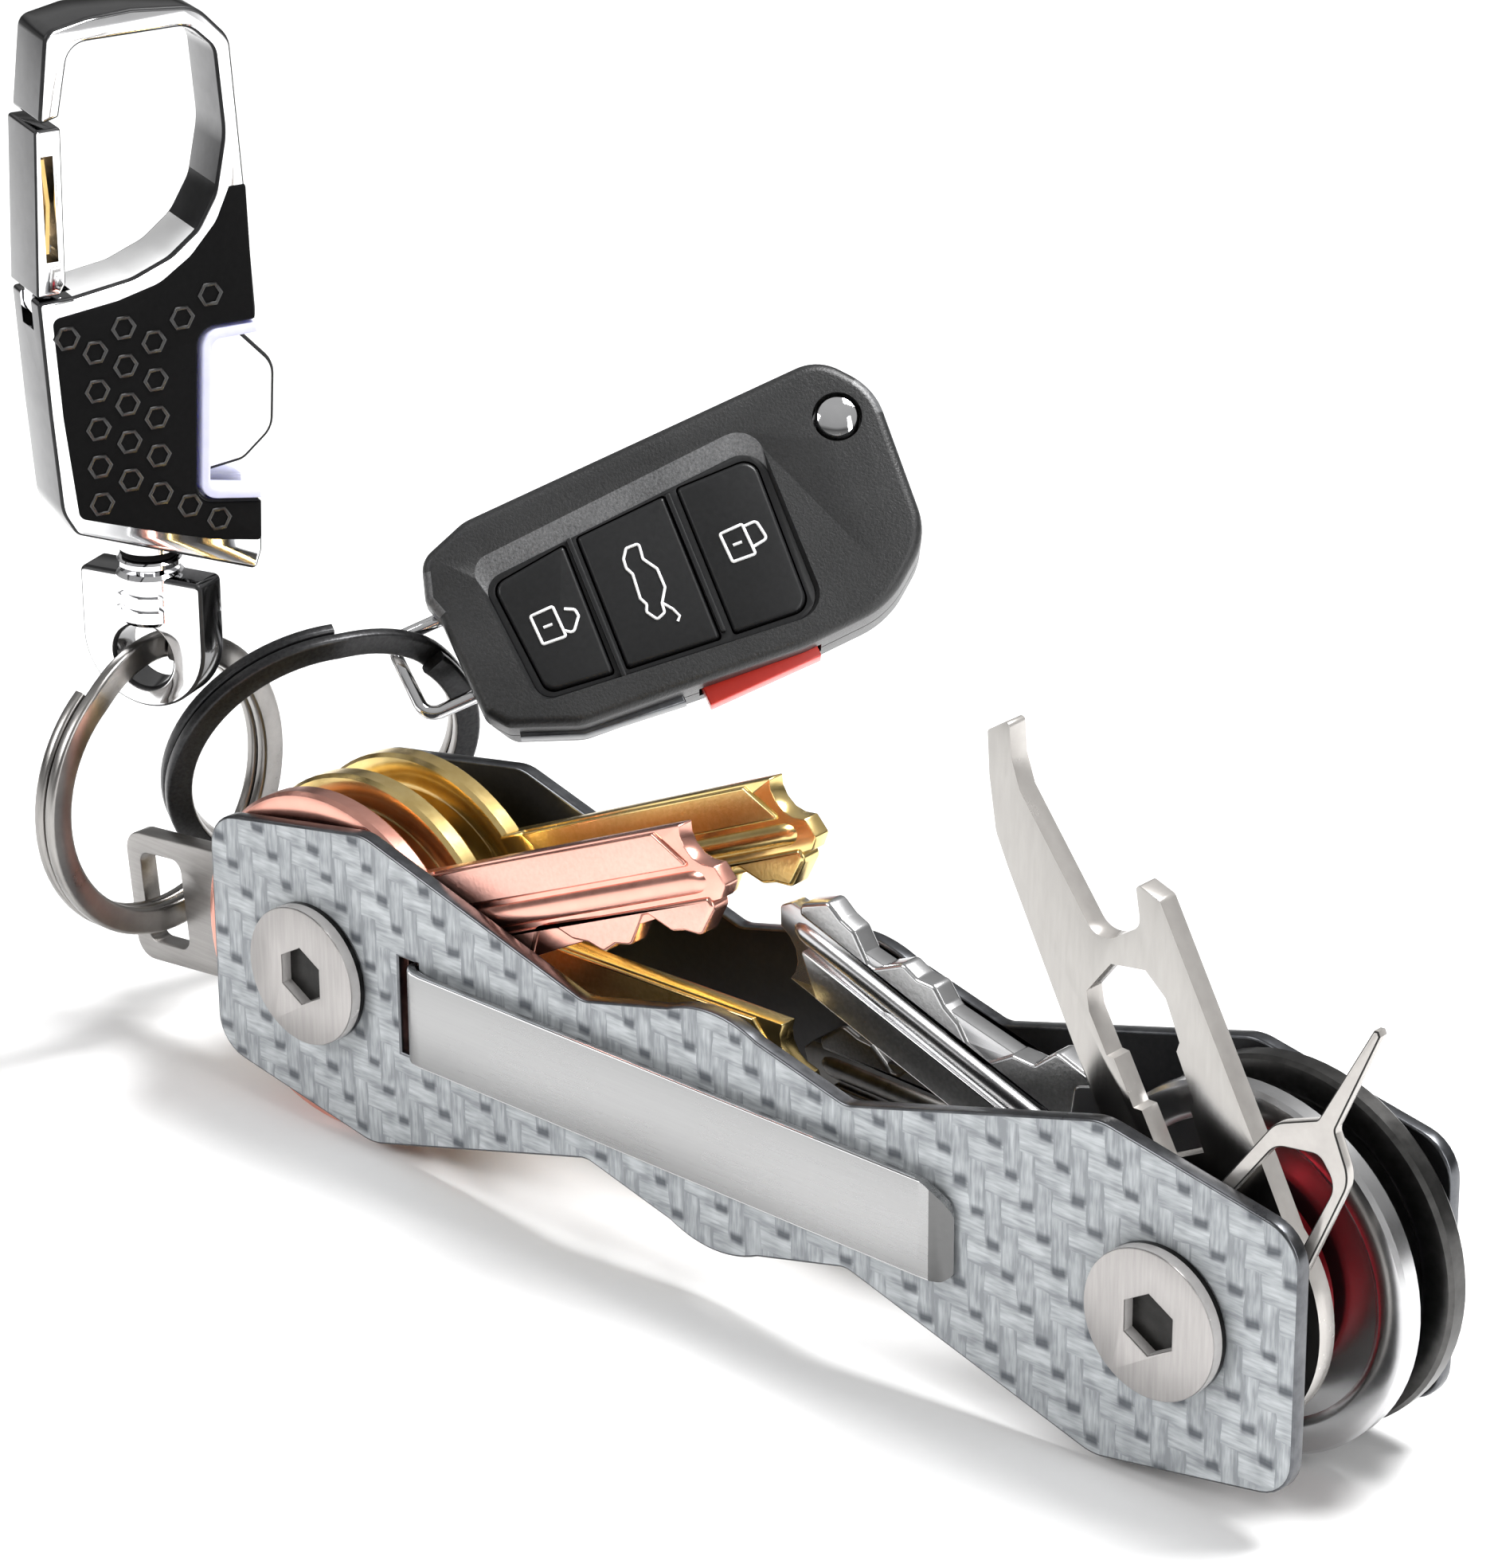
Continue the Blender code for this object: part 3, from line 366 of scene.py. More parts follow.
def carbonTwill():
    made, tree, shader = newMaterial("carbonTwill")
    weave = {"wide": 0.00138, "tall": 0.00185, "repeat": 4.0, "light": (0.50, 0.525, 0.54),
             "dark": (0.24, 0.255, 0.27), "gap": (0.055, 0.062, 0.075), "gapShadeDepth": 0.85, "fibre": 4600.0,
             "wander": 0.0006, "fibreShade": 1.3, "patchShade": 0.8, "brightAt": 0.75, "relief": 0.00012}
    coords = tree.nodes.new("ShaderNodeTexCoord").outputs["Object"]
    centred = vectorMaths(tree, "SUBTRACT", noise(tree, coords, 420.0, 2.0)["Color"], (0.5, 0.5, 0.5))
    wander = vectorMaths(tree, "SCALE", centred, weave["wander"], 3)
    place = nodeIn(tree, "ShaderNodeSeparateXYZ", {0: vectorMaths(tree, "ADD", coords, wander)}).outputs
    across = maths(tree, "DIVIDE", place["X"], weave["wide"])
    upward = maths(tree, "DIVIDE", place["Z"], weave["tall"])
    column = maths(tree, "FLOOR", across)
    cell = maths(tree, "ADD", maths(tree, "FLOOR", upward), column)
    warpOnTop = maths(tree, "LESS_THAN", maths(tree, "FLOORED_MODULO", cell, weave["repeat"]), 1.5)
    along = maths(tree, "FLOORED_MODULO", maths(tree, "ADD", upward, column), weave["repeat"])
    fromEnd = maths(tree, "MINIMUM", along, maths(tree, "SUBTRACT", weave["repeat"], along))
    acrossTow = maths(tree, "SUBTRACT", maths(tree, "FRACT", across), 0.5)
    upTow = maths(tree, "SUBTRACT", maths(tree, "FRACT", upward), 0.5)
    # Dark marks at the float ends, where a tow dives under: partly the gap between tows, partly painted
    # shade.
    gap = maths(tree, "MULTIPLY", ranged(tree, fromEnd, 0.30, 0.08),
                ranged(tree, maths(tree, "ABSOLUTE", acrossTow), 0.5, 0.3))
    warpDome = maths(tree, "SUBTRACT", 0.25, maths(tree, "MULTIPLY", acrossTow, acrossTow))
    weftDome = maths(tree, "SUBTRACT", 0.25, maths(tree, "MULTIPLY", upTow, upTow))
    dome = either(tree, warpOnTop, weftDome, warpDome)
    weftFibre, warpFibre = (
        noise(tree, vectorMaths(tree, "MULTIPLY", coords, stretch), weave["fibre"], 3.0)["Fac"]
        for stretch in ((0.12, 1.0, 1.0), (1.0, 1.0, 0.12)))
    fibre = either(tree, warpOnTop, weftFibre, warpFibre)
    patch = noise(tree, coords, 700.0, 1.0)["Fac"]
    # The tow crowns are painted lighter by the dome term, a painted highlight; warp floats sit 0.14 darker.
    shade = maths(tree, "MULTIPLY_ADD", warpOnTop, -0.14, maths(tree, "MULTIPLY_ADD", dome, 1.3, 0.14))
    for grain, weight in ((fibre, weave["fibreShade"]), (patch, weave["patchShade"])):
        change = maths(tree, "MULTIPLY", maths(tree, "SUBTRACT", grain, 0.5), weight)
        shade = maths(tree, "ADD", shade, change)
    cloth = blend(tree, ranged(tree, shade, 0.0, weave["brightAt"]), weave["dark"], weave["light"])
    colour = blend(tree, maths(tree, "MULTIPLY", gap, weave["gapShadeDepth"]), cloth, weave["gap"])
    tree.links.new(colour, shader.inputs["Base Color"])
    height = maths(tree, "ADD", dome, maths(tree, "MULTIPLY", fibre, 0.12))
    bump = nodeIn(tree, "ShaderNodeBump", {"Strength": 0.4, "Distance": weave["relief"], "Height": height})
    tree.links.new(bump.outputs[0], shader.inputs["Normal"])
    tree.links.new(maths(tree, "MULTIPLY_ADD", fibre, 0.2, 0.38), shader.inputs["Roughness"])
    shader.inputs["Metallic"].default_value = 0.1
    shader.inputs["Specular IOR Level"].default_value = 0.35
    return made


def lavenderGlaze():
    made = finish("lavenderGlaze", (0.66, 0.67, 0.86), (0.58, 0.59, 0.80), metallic=0.0, rough=0.3,
                  depth=0.04)
    shader = next(n for n in made.node_tree.nodes if n.type == "BSDF_PRINCIPLED")
    shader.inputs["Subsurface Weight"].default_value = 0.35
    shader.inputs["Subsurface Scale"].default_value = 0.001
    shader.inputs["Subsurface Radius"].default_value = (0.6, 0.6, 1.0)
    return made


carbon = carbonTwill()
edgeMetal = finish("edgeMetal", (0.16, 0.165, 0.175), (0.07, 0.072, 0.078), rough=0.3, depth=0.15)
blackPlate = finish("blackPlate", (0.022, 0.022, 0.024), (0.012, 0.012, 0.013), metallic=0.6, rough=0.42,
                    scale=2400.0, depth=0.25)
clipSteel = finish("clipSteel", (0.365, 0.365, 0.365), (0.335, 0.335, 0.335), rough=0.28,
                   stretch=(0.03, 1.0, 1.0), scale=5000.0, depth=0.06)
clipShade = finish("clipShade", (0.15, 0.15, 0.15), (0.12, 0.12, 0.12), rough=0.2, depth=0.03)
screwSteel = finish("screwSteel", (0.42, 0.402, 0.392), (0.31, 0.297, 0.29), rough=0.33,
                    stretch=(1.0, 1.0, 0.06), scale=4200.0, depth=0.22, smudge=0.12)
# A lighter, part-diffuse copy of the screw steel: painted light in the hex socket and on the head's side.
screwLitCopy = finish("screwLitCopy", (0.60, 0.58, 0.57), (0.48, 0.465, 0.455), metallic=0.3, rough=0.25)
# A near-black copy of the screw steel: painted shade on the head's low side band and the shank.
screwShadeSide = finish("screwShadeSide", (0.035, 0.034, 0.033), (0.015, 0.0147, 0.0143), rough=0.3)
brushedSteel = finish("brushedSteel", (0.40, 0.385, 0.37), (0.22, 0.212, 0.205), rough=0.30,
                      stretch=(1.0, 0.08, 0.08), scale=4200.0, depth=0.2, smudge=0.12)
bracketSteel = finish("bracketSteel", (0.42, 0.405, 0.395), (0.30, 0.29, 0.28), rough=0.36,
                      stretch=(0.05, 1.0, 1.0), scale=4200.0, depth=0.2, smudge=0.1)
chrome = finish("chrome", (0.93, 0.93, 0.94), (0.86, 0.86, 0.87), rough=0.05, depth=0.015, smudge=0.05)
chromeShade = finish("chromeShade", (0.20, 0.20, 0.203), (0.15, 0.15, 0.152), rough=0.08, depth=0.015)
# A pale, part-diffuse copy of chrome: a painted reflection of the bright surroundings, for the opening's
# floor and the opener lip.
chromePaleReflection = finish("chromePaleReflection", (0.92, 0.92, 0.92), (0.88, 0.88, 0.88), metallic=0.25, rough=0.35,
                    depth=0.02)
# A near-black, non-metallic copy of chrome: a painted dark reflection, for rim lines and the opening's low
# inner wall.
chromeDarkReflection = finish("chromeDarkReflection", (0.03, 0.03, 0.031), (0.015, 0.015, 0.0155), metallic=0.0, rough=0.3,
                    depth=0.015, specular=0.1)
# A near-black, non-metallic copy of nickel: a painted dark reflection line on the rim bevels of the multitool
# and pin.
nickelDarkReflection = finish("nickelDarkReflection", (0.03, 0.029, 0.028), (0.015, 0.0145, 0.014), metallic=0.0, rough=0.4,
                    depth=0.03, specular=0.1)
# A lighter, part-diffuse copy of nickel: painted light, on the multitool's sides and over the whole pin.
nickelLitCopy = finish("nickelLitCopy", (0.50, 0.48, 0.455), (0.42, 0.40, 0.38), metallic=0.6, rough=0.25,
                    depth=0.03)
nickel = finish("nickel", (0.40, 0.387, 0.37), (0.34, 0.328, 0.313), rough=0.2, stretch=(1.0, 1.0, 0.15),
                scale=3000.0, depth=0.05)
roseGold = finish("roseGold", (0.90, 0.47, 0.38), (0.80, 0.38, 0.30), rough=0.24, depth=0.06)
roseFrost = finish("roseFrost", (0.88, 0.50, 0.42), (0.76, 0.39, 0.32), rough=0.36, scale=3200.0, depth=0.6)
gold = finish("gold", (0.95, 0.74, 0.34), (0.84, 0.60, 0.22), rough=0.22, depth=0.06)
goldFrost = finish("goldFrost", (0.92, 0.66, 0.28), (0.76, 0.50, 0.16), rough=0.36, scale=3200.0, depth=0.7)
silver = finish("silver", (0.60, 0.60, 0.605), (0.52, 0.52, 0.525), rough=0.23, depth=0.02, smudge=0.03)
silverFrost = finish("silverFrost", (0.56, 0.56, 0.56), (0.36, 0.36, 0.36), rough=0.34, scale=3200.0,
                     depth=0.7)
darkSteel = finish("darkSteel", (0.11, 0.108, 0.105), (0.055, 0.054, 0.053), rough=0.3, depth=0.1)
darkFrost = finish("darkFrost", (0.09, 0.088, 0.085), (0.035, 0.034, 0.033), rough=0.42, scale=4500.0,
                   depth=0.4)
ringBlack = finish("ringBlack", (0.06, 0.06, 0.062), (0.022, 0.022, 0.023), metallic=0.8, rough=0.34,
                   scale=3600.0, depth=0.5)
anodised = finish("anodised", (0.030, 0.030, 0.031), (0.018, 0.018, 0.018), metallic=0.8, rough=0.35)
redMetal = finish("redMetal", (0.24, 0.006, 0.012), (0.17, 0.004, 0.009), metallic=0.9, rough=0.38,
                  depth=0.02, smudge=0.02)
rubber = finish("rubber", (0.0085, 0.0085, 0.0087), (0.006, 0.006, 0.0062), metallic=0.0, rough=0.6,
                scale=2600.0, depth=0.15, specular=0.02)
gripLine = finish("gripLine", (0.0006, 0.0006, 0.0006), (0.0004, 0.0004, 0.0004), metallic=0.0, rough=0.25,
                  specular=0.6)
caseGrain = finish("caseGrain", (0.021, 0.0213, 0.022), (0.006, 0.0061, 0.0064), metallic=0.0, rough=0.38,
                   scale=5200.0, depth=1.0, specular=0.55)
# A lighter copy of the case grain: a painted highlight for the bay's upper slope.
caseHighlight = finish("caseHighlight", (0.16, 0.162, 0.166), (0.035, 0.0355, 0.037), metallic=0.0, rough=0.34,
                   scale=5200.0, depth=1.0, specular=0.6)
padSmooth = finish("padSmooth", (0.014, 0.0143, 0.015), (0.0095, 0.0097, 0.0102), metallic=0.0, rough=0.34,
                   scale=2600.0, depth=0.12, specular=0.32)
iconPaint = finish("iconPaint", (0.86, 0.87, 0.88), (0.74, 0.75, 0.76), metallic=0.0, rough=0.5)
panicRed = finish("panicRed", (0.84, 0.052, 0.034), (0.72, 0.038, 0.026), metallic=0.0, rough=0.36,
                  depth=0.08, coat=0.2)
lavender = lavenderGlaze()
boardGreen = finish("boardGreen", (0.02, 0.17, 0.06), (0.012, 0.12, 0.04), metallic=0.0, rough=0.4)
goldLeaf = finish("goldLeaf", (0.72, 0.50, 0.20), (0.56, 0.36, 0.12), rough=0.25)
print("materials made")


# Camera, light and floor.

def makeCamera():
    view = {"azimuth": 42.23, "elevation": 23.57, "roll": -0.365, "place": (224.6, -243.74, 169.87),
            "lens": 128.31, "sensor": 36.0, "nearest": 0.01}
    az, el, roll = (math.radians(view[k]) for k in ("azimuth", "elevation", "roll"))
    ahead = Vector((-math.sin(az) * math.cos(el), math.cos(az) * math.cos(el), -math.sin(el)))
    level = Vector((math.cos(az), math.sin(az), 0.0))
    above = level.cross(ahead)
    right = level * math.cos(roll) + above * math.sin(roll)
    up = above * math.cos(roll) - level * math.sin(roll)
    data = bpy.data.cameras.new("camera")
    data.lens = view["lens"]
    data.sensor_width = data.sensor_height = view["sensor"]
    data.clip_start = view["nearest"]
    camera = bpy.data.objects.new("camera", data)
    turn = Matrix((right, up, -ahead)).transposed().to_4x4()
    camera.matrix_world = Matrix.Translation(plateOrigin + Vector(view["place"]) * mm) @ turn
    bpy.context.scene.collection.objects.link(camera)
    bpy.context.scene.camera = camera


studio = {"halfFloor": 1.6, "strength": 0.41, "skyEnds": (0.62, 1.0),
          "skyBands": ((0.16, 0.42), (0.30, 0.20), (0.44, 0.78)),
          "lights": (("topLight", (0.14, 0.19, 0.56), (0.0, 0.0, 0.0), (0.24, 0.24), 6.1),
                     ("frontLight", (-0.26, -0.46, 0.34), (0.0, 0.0, 0.03), (0.30, 0.20), 1.9),
                     ("sideLight", (0.46, -0.10, 0.22), (0.0, 0.0, 0.03), (0.10, 0.40), 0.9))}


def areaLight(name, place, target, size, power):
    data = bpy.data.lights.new(name, "AREA")
    data.shape = "RECTANGLE"
    data.size, data.size_y = size
    data.energy = power
    light = bpy.data.objects.new(name, data)
    light.location = place
    light.rotation_euler = (Vector(target) - Vector(place)).to_track_quat("-Z", "Y").to_euler()
    bpy.context.scene.collection.objects.link(light)


def makeStudio():
    shape = bmesh.new()
    bmesh.ops.create_grid(shape, x_segments=2, y_segments=2, size=studio["halfFloor"])
    mesh = bpy.data.meshes.new("floor")
    shape.to_mesh(mesh)
    shape.free()
    mesh.materials.append(finish("paleFloor", (0.90, 0.90, 0.90), (0.88, 0.88, 0.88), metallic=0.0,
                                 rough=0.7, depth=0.0, specular=0.15))
    floor = bpy.data.objects.new("floor", mesh)
    bpy.context.scene.collection.objects.link(floor)
    world = bpy.data.worlds.new("studio")
    bpy.context.scene.world = world
    world.use_nodes = True
    tree = world.node_tree
    background = next(n for n in tree.nodes if n.type == "BACKGROUND")
    direction = nodeIn(tree, "ShaderNodeSeparateXYZ",
                       {0: tree.nodes.new("ShaderNodeTexCoord").outputs["Generated"]}).outputs
    bands = nodeIn(tree, "ShaderNodeValToRGB", {0: ranged(tree, direction["Z"], -0.1, 0.9)})
    ramp = bands.color_ramp
    for element, level in zip(ramp.elements, studio["skyEnds"]):
        element.color = (level, level, level, 1.0)
    for position, level in studio["skyBands"]:
        ramp.elements.new(position).color = (level, level, level, 1.0)
    tree.links.new(bands.outputs[0], background.inputs["Color"])
    background.inputs["Strength"].default_value = studio["strength"]
    for light in studio["lights"]:
        areaLight(*light)
    bpy.context.scene.view_settings.view_transform = "Standard"


makeCamera()
makeStudio()
print("camera and studio made")


# The two plates. Their local z is minus the working y, so near faces have the larger z.

plates = {"thickness": 1.1, "rear": 15.75, "bevel": 0.22, "hole": 2.5, "post": 38.0}
plateFrame = frameAt((0, 0, 0))


def onPost(side, turn=0.0):
    return frameAt((side * plates["post"], 0, 0), roll=turn)


def plateOutline():
    hump = arc((0.0, -0.05), 8.95, 90.0, 60.0, 8)[:-1]
    half = [*hump, (11.75, 6.0, 2.0), (32.7, 12.0, 4.0), (48.4, 9.1, 3.0)]
    right = half + [(p[0], -p[1], *p[2:]) for p in reversed(half)]
    left = [(-p[0], *p[1:]) for p in reversed(right)]
    return rounded([*right, *left[1:-1]])


postHoles = [circle((side * plates["post"], 0.0), plates["hole"]) for side in (-1, 1)]
clipSlot = [(-29.5, -3.7), (-27.6, -3.7), (-27.6, 3.7), (-29.5, 3.7)]
front = panel(plateOutline(), -plates["thickness"], 0.0, [*postHoles, clipSlot], plates["bevel"], rimPaint=1)
for face in front.faces:
    if face.normal.z < -0.99:
        face.material_index = 2
piece("frontPlate", front, plateFrame, "organiser", [carbon, edgeMetal, blackPlate], ["front_plate"])
rear = panel(plateOutline(), -plates["rear"] - plates["thickness"], -plates["rear"], postHoles,
             plates["bevel"], rimPaint=1)
piece("rearPlate", rear, plateFrame, "organiser", [blackPlate, edgeMetal], ["rear_plate"])


# Pocket clip: a flat spring strip whose rounded far end bends in.

clip = {"halfWidth": 3.55, "bevel": 0.14, "shadeFrom": 19.8}


def clipShape():
    outer = [(-27.9, 0.75), (-27.6, 0.98), (-27.2, 1.12), (-26.4, 1.2), (19.0, 1.25), (19.9, 1.2),
             (20.4, 1.02), (20.9, 0.74), (21.35, 0.35)]
    inner = [(20.9, 0.15), (20.4, 0.45), (19.5, 0.65), (-26.1, 0.6), (-27.1, 0.4), (-27.75, -0.1)]
    tab = [(-27.75, -0.95), (-28.35, -0.95), (-28.35, 0.3)]
    section = [(x, -z) for x, z in outer + inner + tab]
    strip = panel(section, -clip["halfWidth"], clip["halfWidth"], bevel=clip["bevel"], steps=2, rimPaint=1,
                  sidePaint=0)
    plan = rounded([(-29.0, -3.6), (21.5, -3.6, 1.4), (21.5, 3.6, 3.4), (-29.0, 3.6)], 12)
    strip = carved(moved(strip, upright), panel(plan, -3.0, 3.0), "INTERSECT")
    # Upward faces of the bent far end get the darker copy: painted shade.
    for face in strip.faces:
        if face.calc_center_median().x > clip["shadeFrom"] and face.normal.z > 0.2:
            face.material_index = 2
    return strip


piece("pocketClip", clipShape(), plateFrame, "organiser", [clipSteel, chrome, clipShade], ["pocket_clip"],
      angle=25)


# Screws, posts and washers.

screw = {"radius": 5.15, "top": 1.45, "socket": 2.19, "deep": 0.9, "rim": 0.1, "shelf": 4.6, "seat": 0.15,
         "shank": 1.4, "end": -6.0}
post = {"bore": 1.7, "bottom": -7.5, "mouth": -1.3, "radius": 2.2, "back": -17.0, "flange": 5.15}


def screwShape():
    floor = screw["top"] - screw["deep"]
    base = lathe([(0.0, floor), (screw["shelf"], floor), (screw["radius"], floor),
                  (screw["radius"], screw["seat"]), (screw["shank"], screw["seat"]),
                  (screw["shank"], screw["end"]), (0.0, screw["end"])], paint=1)
    # The socket floor takes the painted lighter copy; the other turned faces keep the painted shade copy.
    for face in base.faces:
        if face.calc_center_median().xy.length < 3.0 and face.normal.z > 0.9:
            face.material_index = 2
    hexagon = arc((0.0, 0.0), screw["socket"], 30.0, 330.0, 5)
    cap = panel(circle((0.0, 0.0), screw["radius"], 64), floor, screw["top"], [hexagon], screw["rim"], 2,
                (False, True), rimPaint=0, sidePaint=2)
    return joined(base, cap)


def postShape():
    back, flange = post["back"], post["flange"]
    return lathe([(0.0, post["bottom"]), (post["bore"], post["bottom"]), (post["bore"], post["mouth"]),
                  (post["radius"], post["mouth"]), (post["radius"], back), (flange - 0.15, back),
                  (flange, back - 0.12), (flange, back - 0.9), (flange - 0.1, back - 1.15),
                  (flange - 0.4, back - 1.3), (0.0, back - 1.3)])


for side, name in ((-1, "left"), (1, "right")):
    piece(name + "Screw", screwShape(), onPost(side), "organiser", [screwSteel, screwShadeSide, screwLitCopy],
          [name + "_screw"])
    piece(name + "Post", postShape(), onPost(side), "organiser", [screwSteel], [name + "_post"])

washers = (("left_middle_spacer", -1, 6.0, 8.0, 10.25, anodised),
           ("left_rear_spacer", -1, 6.0, 12.9, 15.45, anodised),
           ("right_front_washer", 1, 5.0, 2.7, 3.45, anodised),
           ("red_washer", 1, 7.6, 5.6, 7.85, redMetal),
           ("right_middle_spacer", 1, 6.0, 10.5, 12.65, anodised),
           ("right_rear_washer", 1, 6.0, 15.2, 15.5, anodised))
for name, side, radius, near, far, coating in washers:
    cut = min(0.2, (far - near) / 3)
    ring = lathe([(plates["hole"], -near), (radius - cut, -near), (radius, -near - cut),
                  (radius, -far + cut), (radius - cut, -far), (plates["hole"], -far)], closed=True)
    piece(name + "Turned", ring, onPost(side), "organiser", [coating], [name])
print("plates, clip and screws made")


# Door keys. Local x runs along the blade, +y is its smooth edge and z its front normal.

keySizes = {"head": 12.75, "rim": 2.1, "dish": 0.38, "web": 0.34, "land": 0.12, "smooth": 5.03,
            "bitBevel": 0.42, "railBevel": 0.3, "ridgeY": 1.12, "ridgeHalf": 1.08}
keyBits = [(18.0, -4.6, 0.6), (19.2, -2.6, 0.5), (21.0, -2.1, 0.5), (22.6, -0.2, 0.7), (24.4, -0.4, 0.5),
           (25.6, -1.3, 0.6), (27.0, -1.7, 0.6), (28.2, -2.5, 0.6), (29.6, -2.1, 0.5), (31.0, -2.35, 0.6),
           (33.0, -0.5, 0.5), (33.6, -0.5, 0.4), (35.4, -1.9, 0.6), (36.6, -2.0, 0.5), (38.0, -2.5, 0.6),
           (40.1, -0.8, 0.6)]
keyTip = [(41.6, 0.5, 0.3), (41.1, 1.9, 0.2), (40.1, 2.2), (39.4, 2.7), (38.95, 3.5), (38.85, 4.3),
          (39.1, 5.05, 0.1)]


def keyShape(near, far):
    front, back, middle = -near, -far, -(near + far) / 2
    head, rim, dish = keySizes["head"], keySizes["rim"], keySizes["dish"]
    half = [(plates["hole"], front - dish), (head - rim - 0.45, front - dish),
            (head - rim - 0.1, front - 0.1), (head - rim + 0.2, front), (head - 0.75, front),
            (head - 0.3, front - 0.12), (head - 0.05, front - 0.45)]
    profile = half + [(r, 2 * middle - z) for r, z in reversed(half)]
    disc = lathe(profile, 72, closed=True)
    web, land, smooth = keySizes["web"], keySizes["land"], keySizes["smooth"]
    heel = [(10.0, -4.2), (17.8, -4.2), (19.6, -2.2, 0.5), (40.8, -0.3, 0.3)]
    core = panel(rounded([*heel, *keyTip, (10.0, smooth)]), back + web, front - web, bevel=0.16, steps=2)
    lower = panel(rounded([(10.0, -4.6), *keyBits, (39.8, 0.0, 0.3), (10.0, 0.0)]), back + land, front - land,
                  bevel=keySizes["bitBevel"], steps=4, paint=1, rimPaint=0)
    rail = panel(rounded([(11.0, 2.25), (39.0, 2.25, 0.2), (36.6, 4.9, 0.2), (11.0, 4.9)]), back + 0.06,
                 front - 0.06, bevel=keySizes["railBevel"], steps=4, paint=1, rimPaint=0)
    rows = []
    for x, swell in ((11.5, 1.0), (38.6, 1.0), (39.2, 0.96), (39.7, 0.84), (40.1, 0.6)):
        reach = (near - far) / 2 * swell
        rise = keySizes["ridgeHalf"] * swell
        rows.append([(x, keySizes["ridgeY"] + rise * math.cos(a), middle + reach * math.sin(a))
                     for a in (math.tau * k / 24 for k in range(24))])
    collar = panel(rounded([(9.6, -4.55), (14.4, -4.6, 1.2), (16.0, -3.4, 0.8), (14.6, 4.0, 1.4),
                            (13.6, smooth), (9.6, smooth)]), back + 0.05, front - 0.05, bevel=0.3)
    return joined(disc, core, lower, rail, sweep(rows), collar)


keys = (("rose_key", -1, 24.0, 1.4, 3.4, roseGold, roseFrost),
        ("gold_key_front", -1, 1.5, 5.65, 7.7, gold, goldFrost),
        ("gold_key_rear", -1, 24.5, 10.55, 12.6, gold, goldFrost),
        ("silver_key", 1, 160.7, 8.15, 10.2, silver, silverFrost),
        ("dark_key", 1, 179.0, 12.95, 15.0, darkSteel, darkFrost))
for name, side, turn, near, far, plain, frosted in keys:
    piece(name + "Cut", keyShape(near, far), onPost(side, turn), name + "_body", [plain, frosted], [name])
print("keys made")


# Multitool, pin and loop bracket: flat steel with bevelled rims.

multitool = {"back": -5.3, "front": -3.75, "bevel": 0.2, "turn": 117.6}
simPin = {"back": -2.4, "front": -1.6, "bevel": 0.09, "turn": 57.0}
bracket = {"back": -5.3, "front": -3.72, "bevel": 0.3, "turn": 186.0}
postBore = circle((0.0, 0.0), plates["hole"])


def multitoolShape():
    hub = arc((0.0, 0.0), 9.4, 163.0, 286.5, 28)
    arm = [(38.0, 0.2, 0.3), (35.3, 1.4, 2.0), (31.7, 2.6, 2.0), (29.3, 2.7)]
    opener = [(7.4, -9.0), (24.9, -8.6, 0.5), (26.4, -7.2, 0.3), (23.6, -6.3, 1.0), (23.2, -2.4, 1.6),
              (33.8, -0.6), (35.9, -0.9), (38.2, -1.9, 0.3)]
    wrench = [(21.8, -2.8), (20.9, -5.4), (18.9, -6.2), (16.0, -6.0), (15.5, -5.5), (12.2, -5.4),
              (11.8, -4.9), (8.9, -4.7), (8.9, -1.0), (12.3, -0.9), (12.6, -0.3), (15.9, -0.2), (16.2, 0.3),
              (19.2, 0.4), (20.5, 0.0)]
    return panel(rounded([(-9.0, 2.7), *hub, *opener, *arm]), multitool["back"], multitool["front"],
                 [wrench, postBore], multitool["bevel"], 2, rimPaint=1, sidePaint=2)


def pinShape():
    outline = rounded([(-3.6, 3.6, 3.0), (16.6, 2.5, 2.4), (19.4, 0.5, 0.6), (27.5, 1.25), (27.7, 1.0),
                       (27.5, 0.7), (19.8, -0.7, 0.6), (18.0, -3.4, 2.4), (9.9, -4.9, 6.0),
                       (-3.6, -4.2, 3.0)])
    inside = rounded([(-2.7, 2.65, 2.2), (15.4, 1.6, 1.8), (17.6, -0.9, 0.9), (16.9, -2.9, 1.6),
                      (9.9, -3.95, 6.0), (-2.7, -3.3, 2.2)])
    return panel(outline, simPin["back"], simPin["front"], [inside], simPin["bevel"], 2, rimPaint=1,
                 sidePaint=2)


def bracketShape():
    body = arc((0.0, 0.0), 6.2, 52.0, 308.0, 32)
    ends = rounded([(9.0, -5.1), (23.6, -5.1, 1.6), (23.6, 4.9, 1.6), (9.0, 4.9)])
    window = rounded([(17.8, -3.6, 0.9), (22.2, -3.6, 0.9), (22.2, 3.4, 0.9), (17.8, 3.4, 0.9)])
    return panel(body + ends, bracket["back"], bracket["front"], [postBore, window], bracket["bevel"])


# The multitool's rims carry painted dark reflection lines and its sides the painted lighter copy; the pin's
# faces and sides take the lighter copy.
piece("multitoolCut", multitoolShape(), onPost(1, multitool["turn"]), "multitool_body",
      [nickel, nickelDarkReflection, nickelLitCopy], ["multitool"], angle=25)
piece("simPinCut", pinShape(), onPost(1, simPin["turn"]), "sim_pin_body",
      [nickelLitCopy, nickelDarkReflection, nickelLitCopy], ["sim_pin"])
piece("loopBracketCut", bracketShape(), onPost(-1, bracket["turn"]), "bracket_body", [bracketSteel],
      ["loop_bracket"])
print("flat tools made")


# Split rings: two turns of flat wire with soft corners.

